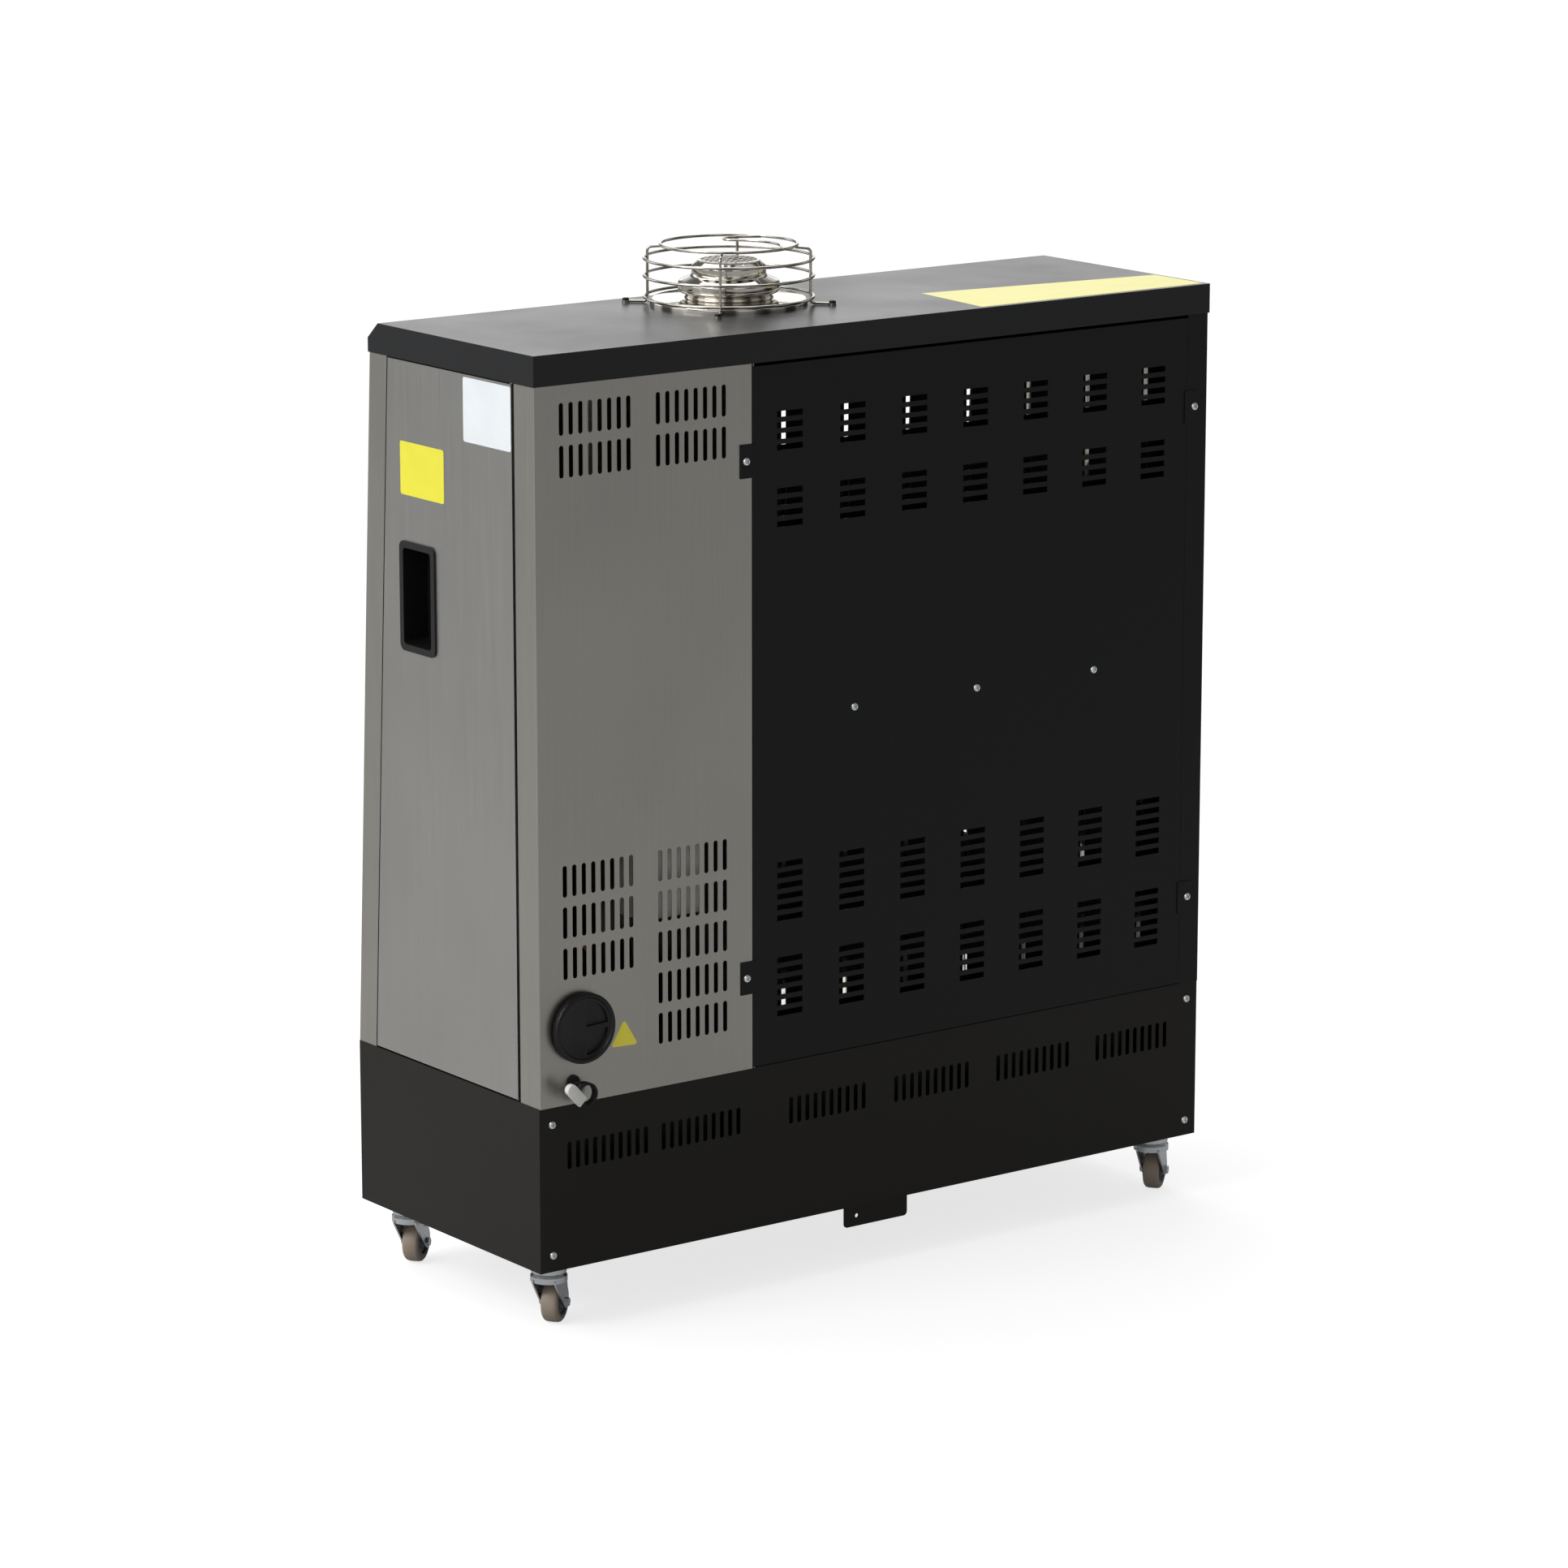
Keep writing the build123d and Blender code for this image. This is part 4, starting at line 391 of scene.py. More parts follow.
def rounded_path(points, radius, steps=6, closed=False):
    """A path of 2-D points with each corner turned by an arc."""
    result = []
    count = len(points)
    for i, point in enumerate(points):
        here = Vector(point)
        if not closed and i in (0, count - 1):
            result.append(here)
            continue
        before = Vector(points[i - 1]) - here
        after = Vector(points[(i + 1) % count]) - here
        turn = math.pi - before.angle(after)
        if turn < 1e-3:
            result.append(here)
            continue
        reach = min(radius * math.tan(turn / 2), 0.49 * before.length, 0.49 * after.length)
        start = here + before.normalized() * reach
        end = here + after.normalized() * reach
        middle = (before.normalized() + after.normalized()).normalized()
        true_radius = reach / math.tan(turn / 2)
        centre = here + middle * (true_radius / math.cos(turn / 2))
        a, b = start - centre, end - centre
        for k in range(steps + 1):
            t = k / steps
            share = (a * math.sin((1 - t) * turn) + b * math.sin(t * turn)) / math.sin(turn)
            result.append(centre + share)
    return result


def lathe(profile, centre, segments=96):
    """An (r, z) outline turned round a vertical axis. It closes on itself, unless it starts and
    ends on the axis."""
    bm = bmesh.new()
    rings = []
    for k in range(segments):
        angle = 2 * math.pi * k / segments
        across, along = math.cos(angle), math.sin(angle)
        rings.append([bm.verts.new(mm(centre[0] + r * across, centre[1] + r * along,
                                      centre[2] + z)) for r, z in profile])
    count = len(profile)
    runs = count - 1 if profile[0][0] == 0 else count
    for k in range(segments):
        a, b = rings[k], rings[(k + 1) % segments]
        for i in range(runs):
            j = (i + 1) % count
            bm.faces.new((a[i], b[i], b[j], a[j]))
    return mesh_of(bm)


def wire_curve(name, points, radius, cyclic=False, smooth=False, sides=6, resolution=8):
    """A round wire through points in millimetres, as a curve."""
    curve = bpy.data.curves.new(name, "CURVE")
    curve.dimensions = "3D"
    curve.bevel_depth = radius * MM
    curve.bevel_resolution = sides
    curve.use_fill_caps = not cyclic
    spline = curve.splines.new("NURBS" if smooth else "POLY")
    spline.points.add(len(points) - 1)
    for target, point in zip(spline.points, points):
        target.co = (*mm(*point), 1)
    spline.use_cyclic_u = cyclic
    if smooth:
        spline.order_u = 3
        spline.use_endpoint_u = True
        spline.resolution_u = resolution
    item = bpy.data.objects.new(name, curve)
    bpy.context.scene.collection.objects.link(item)
    return item


def wire(points, radius, cyclic=False, smooth=False):
    """The same wire as a mesh."""
    return evaluated(wire_curve("wire", points, radius, cyclic, smooth))


def circle_points(centre, radius, count):
    """Points on a level circle."""
    turns = [2 * math.pi * k / count for k in range(count)]
    return [(centre[0] + radius * math.cos(a), centre[1] + radius * math.sin(a), centre[2])
            for a in turns]


def box_mesh(x0, x1, y0, y1, z0, z1, rounding):
    """A block with rounded edges."""
    bm = bmesh.new()
    bmesh.ops.create_cube(bm, size=1.0)
    size = mm(x1 - x0, y1 - y0, z1 - z0)
    centre = mm((x0 + x1) / 2, (y0 + y1) / 2, (z0 + z1) / 2)
    bmesh.ops.transform(bm, matrix=Matrix.Translation(centre) @ Matrix.Diagonal((*size, 1)),
                        verts=bm.verts)
    bmesh.ops.bevel(bm, geom=bm.edges[:], offset=rounding * MM, segments=2, profile=0.5,
                    affect="EDGES")
    return mesh_of(bm)


# The camera and the room. Directions are degrees from +X, the room's sizes are metres.
CAMERA_REACH = 100.0
WHITE = (1.0, 1.0, 1.0, 1.0)
SIDE_LIGHT = -53.4
SIDE_SWING = 0.72
BACK_SCREEN = -126.7
SCREENS = 7
SCREEN_EDGE = 0.6
SCREEN_DIM = 0.1
SCREEN_BRIGHT = 1.1
WORLD_LEVEL = 0.85
FLOOR_REACH = 40.0
FLOOR_GREY = (0.4, 0.4, 0.4, 1.0)
FLOOR_PALE = (0.9, 0.9, 0.9, 1.0)
FLOOR_GLOW = 1.15
GLOW_SEEN = 0.65
GLOW_MIRRORED = 0.13

# Each lamp: name, place, target, size, watts
LAMPS = (
    ("key", (4.2, 0.0, 3.4), (0, 0, 0.6), (2.4, 2.4), 118),
    ("fill", (0.5, 5.0, 3.2), (0, 0, 0.6), (3.0, 2.0), 5),
    ("top", (-0.5, -1.5, 4.0), (0, 0, 1.0), (3.0, 2.0), 50),
)


def aimed(item, place, target):
    """Put a camera or a lamp at its place, looking at its target."""
    item.location = place
    item.rotation_euler = (Vector(target) - Vector(place)).to_track_quat("-Z", "Y").to_euler()
    bpy.context.scene.collection.objects.link(item)


def camera():
    """The camera, where the picture was taken from."""
    data = bpy.data.cameras.new("camera")
    data.sensor_width = SENSOR_MM
    data.lens = FOCAL_PIXELS * SENSOR_MM / PHOTO_PIXELS
    data.clip_end = CAMERA_REACH
    item = bpy.data.objects.new("camera", data)
    aimed(item, mm(*CAMERA_PLACE), mm(*CAMERA_TARGET))
    bpy.context.scene.camera = item


def softbox(name, place, target, size, watts):
    """A rectangular lamp."""
    data = bpy.data.lights.new(name, "AREA")
    data.shape = "RECTANGLE"
    data.size, data.size_y = size
    data.energy = watts
    aimed(bpy.data.objects.new(name, data), place, target)


def azimuth_wave(tree, count, towards):
    """A wave round the horizon: 1 in the direction given in degrees, -1 between its crests."""
    place = add(tree, "ShaderNodeTexCoord").outputs["Generated"]
    way = add(tree, "ShaderNodeSeparateXYZ", {0: place}).outputs
    angle = add(tree, "ShaderNodeMath", {0: way["Y"], 1: way["X"]}, operation="ARCTAN2")
    shifted = add(tree, "ShaderNodeMath", {0: angle.outputs[0], 1: math.radians(towards)},
                  operation="SUBTRACT")
    scaled = add(tree, "ShaderNodeMath", {0: shifted.outputs[0], 1: float(count)},
                 operation="MULTIPLY")
    return add(tree, "ShaderNodeMath", {0: scaled.outputs[0]}, operation="COSINE").outputs[0]


def ray_shares(tree):
    """1 for rays from the camera, and 1 for rays by which metal and glass show the room."""
    path = add(tree, "ShaderNodeLightPath").outputs
    mirrored = add(tree, "ShaderNodeMath", {
        0: path["Is Glossy Ray"], 1: path["Is Transmission Ray"]}, operation="MAXIMUM")
    return path["Is Camera Ray"], mirrored.outputs[0]


def studio_world():
    """White studio: brighter on one side, with dim gaps between its screens that polished
    metal shows."""
    world = bpy.data.worlds.new("studio")
    bpy.context.scene.world = world
    world.use_nodes = True
    tree = world.node_tree
    seen, mirrored = ray_shares(tree)
    side = azimuth_wave(tree, 1, SIDE_LIGHT)
    broad = add(tree, "ShaderNodeMath", {0: side, 1: SIDE_SWING, 2: 1.0}, operation="MULTIPLY_ADD")
    screens = add(tree, "ShaderNodeMapRange", {
        "Value": azimuth_wave(tree, SCREENS, BACK_SCREEN), "From Min": -SCREEN_EDGE,
        "From Max": SCREEN_EDGE, "To Min": SCREEN_DIM, "To Max": SCREEN_BRIGHT},
        interpolation_type="SMOOTHSTEP")
    level = add(tree, "ShaderNodeMix", {0: mirrored, 2: WORLD_LEVEL, 3: screens.outputs[0]})
    light = add(tree, "ShaderNodeMath", {0: level.outputs[0], 1: broad.outputs[0]},
                operation="MULTIPLY")
    strength = add(tree, "ShaderNodeMix", {0: seen, 2: light.outputs[0], 3: 1.0})
    background = tree.nodes["Background"]
    background.inputs["Color"].default_value = WHITE
    tree.links.new(strength.outputs[0], background.inputs["Strength"])


def studio_floor():
    """Floor that keeps the shadow: white to the camera, dimmer in what metal shows of it."""
    material, tree, shader = blank_material("studio_floor")
    seen, mirrored = ray_shares(tree)
    tint = add(tree, "ShaderNodeMix", {0: seen, 6: FLOOR_GREY, 7: FLOOR_PALE}, data_type="RGBA")
    tree.links.new(tint.outputs[2], shader.inputs["Base Color"])
    shader.inputs["Roughness"].default_value = 0.9
    shader.inputs["Specular IOR Level"].default_value = 0.0
    glow = add(tree, "ShaderNodeEmission", {"Color": WHITE, "Strength": FLOOR_GLOW})
    unseen = add(tree, "ShaderNodeMix", {0: mirrored, 2: 0.0, 3: GLOW_MIRRORED})
    share = add(tree, "ShaderNodeMix", {0: seen, 2: unseen.outputs[0], 3: GLOW_SEEN})
    mixed = add(tree, "ShaderNodeMixShader", {
        0: share.outputs[0], 1: shader.outputs[0], 2: glow.outputs[0]})
    tree.links.new(mixed.outputs[0], tree.nodes["Material Output"].inputs[0])
    bm = bmesh.new()
    bmesh.ops.create_grid(bm, x_segments=1, y_segments=1, size=FLOOR_REACH)
    mesh = bpy.data.meshes.new("floor")
    bm.to_mesh(mesh)
    bm.free()
    mesh.materials.append(material)
    floor = bpy.data.objects.new("floor", mesh)
    bpy.context.scene.collection.objects.link(floor)


camera()
studio_world()
studio_floor()
for lamp in LAMPS:
    softbox(*lamp)


# The sensor's lead: out of its grommet, round its loops, to the sensor
GROMMET_X = 452.5
GROMMET_Z = 305.5
GROMMET_LIP = 2.4
LEAD_R = 1.5
LEAD_STRAIGHT = 6.0
LOOP_R = 13.0
LOOP_TURNS = 2
LOOP_STEPS = 8
LOOP_PITCH = 3.8
LOOP_SIDE = 9.0
LOOP_DROP = 12.5
LOOP_START = 88
LOOP_CLEAR = 7.0
TAIL_SIDE = 4
TAIL_DROP = 5
# The tail's points: how far along its lean, and how far out from the last loop
TAIL_STEPS = ((0, 4.0), (9, 7.0), (15, 7.0))
SENSOR_LEAN = 47
SENSOR_WIDTH = 14.0
SENSOR_LENGTH = 30.0
SENSOR_T = 8.0
SENSOR_EDGE = 1.4
SENSOR_LAP = 3.0
DOT_R = 1.5
DOT_H = 0.5
DOT_EDGE = 0.2
DOT_SINK = 0.52
DOT_STEP = 3.5


def lead_points():
    """The lead's route, with its loops worked out turn by turn."""
    y = REAR_Y + GROMMET_LIP
    cx, cz = GROMMET_X - LOOP_SIDE, GROMMET_Z - LOOP_DROP
    points = [(GROMMET_X, y, GROMMET_Z), (GROMMET_X, y + LEAD_STRAIGHT, GROMMET_Z)]
    count = LOOP_STEPS * LOOP_TURNS + LOOP_STEPS // 2
    for i in range(count + 1):
        angle = math.radians(LOOP_START + 360 / LOOP_STEPS * i)
        rise = LOOP_CLEAR + LOOP_PITCH * i / LOOP_STEPS
        points.append((cx + LOOP_R * math.cos(angle), y + rise, cz + LOOP_R * math.sin(angle)))
    lift = LOOP_PITCH * count / LOOP_STEPS + LOOP_CLEAR
    lean = math.radians(SENSOR_LEAN)
    x = cx + LOOP_R * math.sin(lean) - TAIL_SIDE
    z = cz - LOOP_R * math.cos(lean) - TAIL_DROP
    for step, rise in TAIL_STEPS:
        points.append((x + step * math.cos(lean), y + lift + rise, z + step * math.sin(lean)))
    return points


def sensor_lead():
    """Thin rubber lead as a cord."""
    lead = wire_curve("room_sensor_lead", lead_points(), LEAD_R, smooth=True, sides=5,
                      resolution=10)
    lead.data.materials.append(rubber_black)
    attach(lead, CABINET)
    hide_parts("sensor_lead")
    return lead


def sensor_housing():
    """Light moulded room sensor, square where the lead enters and round at its far end."""
    before, end = (Vector(point) for point in lead_points()[-2:])
    way = (end - before).normalized()
    end = end - way * SENSOR_LAP
    across = Vector((0, 1, 0)).cross(way)
    half = Vector((0, SENSOR_T / 2, 0))
    r = SENSOR_WIDTH / 2
    straight = SENSOR_LENGTH - r
    turns = [math.pi * k / 12 for k in range(1, 12)]
    outline = [(0, -r), (straight, -r)]
    outline += [(straight + r * math.sin(a), -r * math.cos(a)) for a in turns]
    outline += [(straight, r), (0, r)]
    bm = bmesh.new()
    face = bm.faces.new([bm.verts.new(mm(*(end + way * u + across * v - half)))
                         for u, v in outline])
    lifted = bmesh.ops.extrude_face_region(bm, geom=[face])
    moved = [v for v in lifted["geom"] if isinstance(v, bmesh.types.BMVert)]
    bmesh.ops.translate(bm, vec=mm(0, SENSOR_T, 0), verts=moved)
    bmesh.ops.recalc_face_normals(bm, faces=bm.faces)
    rims = [e for e in bm.edges if abs(e.verts[0].co.y - e.verts[1].co.y) < 1e-6]
    bmesh.ops.bevel(bm, geom=rims, offset=SENSOR_EDGE * MM, segments=3, profile=0.5,
                    affect="EDGES")
    parts = [mesh_of(bm)]
    turn = Matrix.Rotation(math.radians(-90), 4, "X")
    for step in (-DOT_STEP, DOT_STEP):
        place = end + way * (straight + step)
        dot = lathe([(0, 0), (DOT_R - DOT_EDGE, 0), (DOT_R, DOT_EDGE), (DOT_R, DOT_H), (0, DOT_H)],
                    (0, 0, 0), 20)
        seat = mm(place.x, place.y + SENSOR_T / 2 - DOT_SINK, place.z)
        dot.transform(Matrix.Translation(seat) @ turn)
        parts.append(dot)
    return piece("room_sensor", joined(parts), plastic_light, CABINET, "light_plastic",
                 "sensor_housing")


lead = sensor_lead()
housing = sensor_housing()


# Perforated sheets: one tree fills an outline with holes cut out of it
SLOT_ROUNDING = 0.495
LEAST_HOLE = 0.0001


def perforated_tree(material):
    """Slots and round holes at the vertices of the input mesh, cut out of a rectangle."""
    tree = bpy.data.node_groups.new("perforated_sheet", "GeometryNodeTree")
    face = tree.interface
    face.new_socket("Holes", in_out="INPUT", socket_type="NodeSocketGeometry")
    for label in ("Sheet width", "Sheet height", "Slot width", "Slot height"):
        face.new_socket(label, in_out="INPUT", socket_type="NodeSocketFloat")
    face.new_socket("Sheet", in_out="OUTPUT", socket_type="NodeSocketGeometry")
    start = add(tree, "NodeGroupInput").outputs
    outline = add(tree, "GeometryNodeCurvePrimitiveQuadrilateral", {
        "Width": start["Sheet width"], "Height": start["Sheet height"]})
    slot = add(tree, "GeometryNodeCurvePrimitiveQuadrilateral", {
        "Width": start["Slot width"], "Height": start["Slot height"]})
    half = add(tree, "ShaderNodeMath", {0: start["Slot width"], 1: SLOT_ROUNDING},
               operation="MULTIPLY")
    rounded = add(tree, "GeometryNodeFilletCurve", {
        "Curve": slot.outputs[0], "Radius": half.outputs[0], "Count": 5}, mode="POLY")
    radius = add(tree, "GeometryNodeInputNamedAttribute", {"Name": "hole_radius"},
                 data_type="FLOAT").outputs[0]
    is_round = add(tree, "FunctionNodeCompare", {0: radius, 1: LEAST_HOLE},
                   operation="GREATER_THAN").outputs[0]
    is_slot = add(tree, "FunctionNodeBooleanMath", {0: is_round}, operation="NOT").outputs[0]
    ring = add(tree, "GeometryNodeCurvePrimitiveCircle", {"Resolution": 36, "Radius": 1.0})
    slots = add(tree, "GeometryNodeInstanceOnPoints", {
        "Points": start["Holes"], "Selection": is_slot, "Instance": rounded.outputs[0]})
    rounds = add(tree, "GeometryNodeInstanceOnPoints", {
        "Points": start["Holes"], "Selection": is_round, "Instance": ring.outputs[0],
        "Scale": radius})
    cuts = add(tree, "GeometryNodeJoinGeometry")
    for source in (rounds, slots, outline):
        tree.links.new(source.outputs[0], cuts.inputs[0])
    real = add(tree, "GeometryNodeRealizeInstances", {0: cuts.outputs[0]})
    filled = add(tree, "GeometryNodeFillCurve", {"Curve": real.outputs[0]}, mode="TRIANGLES")
    painted = add(tree, "GeometryNodeSetMaterial", {0: filled.outputs[0], "Material": material})
    add(tree, "NodeGroupOutput", {0: painted.outputs[0]})
    return tree


def set_inputs(modifier, values):
    """Set a tree's named inputs on its modifier, by their identifiers."""
    for entry in modifier.node_group.interface.items_tree:
        if entry.in_out == "INPUT" and entry.name in values:
            modifier[entry.identifier] = values[entry.name]


def perforated(material, width, height, slot_size, slots, rounds=()):
    """A flat sheet in XY, slots and round holes given from its middle, walled downward."""
    mesh = bpy.data.meshes.new("holes")
    places = [mm(x, y, 0) for x, y in slots] + [mm(x, y, 0) for x, y, r in rounds]
    mesh.from_pydata(places, [], [])
    radius = mesh.attributes.new("hole_radius", "FLOAT", "POINT")
    for i, (x, y, r) in enumerate(rounds):
        radius.data[len(slots) + i].value = r * MM
    item = bpy.data.objects.new("sheet", mesh)
    bpy.context.scene.collection.objects.link(item)
    cut = item.modifiers.new("holes", "NODES")
    cut.node_group = perforated_tree(material)
    set_inputs(cut, {"Sheet width": width * MM, "Sheet height": height * MM,
                     "Slot width": slot_size[0] * MM, "Slot height": slot_size[1] * MM})
    wall = item.modifiers.new("wall", "SOLIDIFY")
    wall.thickness = SHEET * MM
    wall.offset = -1
    return evaluated(item)


def spread(centre, pitch, count):
    """Places at a pitch, evenly on both sides of their centre."""
    return [centre + (i - (count - 1) / 2) * pitch for i in range(count)]


def to_rear(x, y, z):
    """The turn from a face drawn in XY to a face on the rear that looks to +Y, its middle at
    the place given."""
    turn = Matrix(((-1, 0, 0, 0), (0, 0, 1, 0), (0, 1, 0, 0), (0, 0, 0, 1)))
    return Matrix.Translation(mm(x, y, z)) @ turn


def folded(path, radius, z0, z1, inward):
    """A folded sheet over a path of (x, y) points, walled to one side."""
    line = rounded_path(path, radius)
    bm = bmesh.new()
    sides = []
    for z in (z0, z1):
        outer, inner = [], []
        for i, point in enumerate(line):
            a = line[max(i - 1, 0)]
            b = line[min(i + 1, len(line) - 1)]
            way = (b - a).normalized()
            normal = Vector((-way.y, way.x)) * inward * SHEET
            outer.append(bm.verts.new(mm(point.x, point.y, z)))
            inner.append(bm.verts.new(mm(point.x + normal.x, point.y + normal.y, z)))
        sides.append((outer, inner))
    (ao, ai), (bo, bi) = sides
    for i in range(len(line) - 1):
        bm.faces.new((ao[i], ao[i + 1], bo[i + 1], bo[i]))
        bm.faces.new((ai[i], ai[i + 1], bi[i + 1], bi[i]))
        bm.faces.new((ao[i], ao[i + 1], ai[i + 1], ai[i]))
        bm.faces.new((bo[i], bo[i + 1], bi[i + 1], bi[i]))
    for k in (0, -1):
        bm.faces.new((ao[k], bo[k], bi[k], ai[k]))
    return mesh_of(bm)


# The column and the base, with their slots
VENT_SIZE = (6.0, 37.5)
VENT_PITCH = 13.3
VENT_COUNT = 8
VENT_ROW_PITCH = 49.0
# Each group of slots: its middle, its top row and its number of rows
VENT_GROUPS = ((415.0, 1083.5, 2), (280.5, 1083.5, 2), (415.0, 545.5, 3), (280.5, 545.5, 5))
CAP_X = 440.6
CAP_Z = 369.4
CAP_HOLE_R = 28.0
GROMMET_HOLE_R = 6.0
TAB_SCREW_X = 203.1
TAB_SCREW_FAR_X = -477.8
TAB_SCREW_ZS = (1009.3, 390.8)
COVER_SCREW_XS = (43.8, -141.0, -323.2)
COVER_SCREW_Z = 698.8
COLUMN_TOP_Z = 1135.0
SIDE_FLANGE = 41.4
SIDE_RETURN = 12.0
SEAM_FLANGE = 13.2
BASE_WIDTH = 998.0
BASE_SLOT_SIZE = (6.0, 33.0)
BASE_SLOT_PITCH = 12.1
BASE_SLOT_COUNT = 10
BASE_SLOT_XS = (402.5, 268.0, 81.0, -77.5, -235.5, -393.0)
BASE_SLOT_Z = 217.0
BASE_SCREW_X = 481.5
BASE_SCREW_ZS = (258.0, 100.0)
SCREW_HOLE_R = 2.6
FOLD_R = 1.6


def column_panel():
    """Slotted stainless panel with its side flange, in one folded sheet."""
    x0, x1, y1 = SEAM_X, DOOR_X, REAR_Y
    width, height = x1 - x0 - 2 * FOLD_R, COLUMN_TOP_Z - DECK_Z
    cx, cz = (x0 + x1) / 2, (COLUMN_TOP_Z + DECK_Z) / 2
    slots = [(cx - x, top - i * VENT_ROW_PITCH - cz) for group, top, rows in VENT_GROUPS
             for x in spread(group, VENT_PITCH, VENT_COUNT) for i in range(rows)]
    rounds = [(cx - CAP_X, CAP_Z - cz, CAP_HOLE_R),
              (cx - GROMMET_X, GROMMET_Z - cz, GROMMET_HOLE_R)]
    rounds += [(cx - TAB_SCREW_X, z - cz, SCREW_HOLE_R) for z in TAB_SCREW_ZS]
    sheet = perforated(steel_panel, width, height, VENT_SIZE, slots, rounds)
    sheet.transform(to_rear(cx, y1, cz))
    side = folded([(x1 - FOLD_R, y1), (x1, y1), (x1, y1 - SIDE_FLANGE),
                   (x1 - SIDE_RETURN, y1 - SIDE_FLANGE)], FOLD_R, DECK_Z, COLUMN_TOP_Z, -1)
    seam = folded([(x0 + FOLD_R, y1), (x0, y1), (x0, y1 - SEAM_FLANGE)], FOLD_R, DECK_Z,
                  COLUMN_TOP_Z, 1)
    piece("column_panel_slotted", joined([sheet, side, seam]), steel_panel, CABINET, "stainless",
          "rear_column_panel")


def base_panel():
    """Slotted rear wall of the base."""
    height = DECK_Z - SHEET - BASE_Z
    cz = BASE_Z + height / 2
    slots = [(-x, BASE_SLOT_Z - cz) for group in BASE_SLOT_XS
             for x in spread(group, BASE_SLOT_PITCH, BASE_SLOT_COUNT)]
    rounds = [(side * BASE_SCREW_X, z - cz, SCREW_HOLE_R) for side in (-1, 1)
              for z in BASE_SCREW_ZS]
    sheet = perforated(coat_base, BASE_WIDTH, height, BASE_SLOT_SIZE, slots, rounds)
    sheet.transform(to_rear(0, BASE_REAR_Y, cz))
    piece("base_panel_slotted", sheet, coat_base, CABINET, "black_paint", "base_rear_panel")


column_panel()
base_panel()


# Screws: one tree sets a pan head with a cross recess at every point
SCREW_R = 4.75
SCREW_H = 3.0
SCREW_SIDES = 24
SHANK_R = 2.3
SHANK_LENGTH = 8.0
CROSS_RIM = 3.1
CROSS_ARM = 2.9
CROSS_NOTCH = 1.3
CROSS_DEPTH = 2.6
CROSS_TAPER = 0.85
TURN_SEED = 4
TURN_MOST = 3.1


def screw_tree(material):
    """The screw on every point, each turned by chance as its driver left it."""
    tree = bpy.data.node_groups.new("screw_set", "GeometryNodeTree")
    face = tree.interface
    face.new_socket("Places", in_out="INPUT", socket_type="NodeSocketGeometry")
    face.new_socket("Screw", in_out="INPUT", socket_type="NodeSocketObject")
    face.new_socket("Size", in_out="INPUT", socket_type="NodeSocketFloat")
    face.new_socket("Screws", in_out="OUTPUT", socket_type="NodeSocketGeometry")
    start = add(tree, "NodeGroupInput").outputs
    screw = add(tree, "GeometryNodeObjectInfo", {"Object": start["Screw"]}).outputs["Geometry"]
    turn = add(tree, "FunctionNodeRandomValue", {"Seed": TURN_SEED, 3: TURN_MOST},
               data_type="FLOAT")
    spin = add(tree, "ShaderNodeCombineXYZ", {"Y": turn.outputs[1]})
    placed = add(tree, "GeometryNodeInstanceOnPoints", {
        "Points": start["Places"], "Instance": screw, "Scale": start["Size"],
        "Rotation": spin.outputs[0]})
    real = add(tree, "GeometryNodeRealizeInstances", {0: placed.outputs[0]})
    painted = add(tree, "GeometryNodeSetMaterial", {0: real.outputs[0], "Material": material})
    add(tree, "NodeGroupOutput", {0: painted.outputs[0]})
    return tree


def screw_shape():
    """A pan head with a cross recess, its shank along -Y."""
    bm = bmesh.new()
    rings = [(SHANK_R, -SHANK_LENGTH), (SHANK_R, 0.0), (SCREW_R, 0.0), (SCREW_R, 1.2),
             (SCREW_R - 0.4, 2.1), (SCREW_R - 1.0, 2.7), (CROSS_RIM, SCREW_H)]
    turns = [2 * math.pi * k / SCREW_SIDES for k in range(SCREW_SIDES)]
    loops = [[bm.verts.new(mm(r * math.cos(a), y, r * math.sin(a))) for a in turns]
             for r, y in rings]
    for a, b in zip(loops, loops[1:]):
        for k in range(SCREW_SIDES):
            j = (k + 1) % SCREW_SIDES
            bm.faces.new((a[k], a[j], b[j], b[k]))
    bm.faces.new(loops[0])
    reaches = [CROSS_ARM if k % 6 in (0, 1, 5) else CROSS_NOTCH for k in range(SCREW_SIDES)]
    cross = [(reach * math.cos(a), reach * math.sin(a)) for reach, a in zip(reaches, turns)]
    top = [bm.verts.new(mm(x, SCREW_H, z)) for x, z in cross]
    floor = [bm.verts.new(mm(x * CROSS_TAPER, SCREW_H - CROSS_DEPTH, z * CROSS_TAPER))
             for x, z in cross]
    for k in range(SCREW_SIDES):
        j = (k + 1) % SCREW_SIDES
        bm.faces.new((loops[-1][k], loops[-1][j], top[j], top[k]))
        bm.faces.new((top[k], top[j], floor[j], floor[k]))
    bm.faces.new(floor)
    return mesh_of(bm)


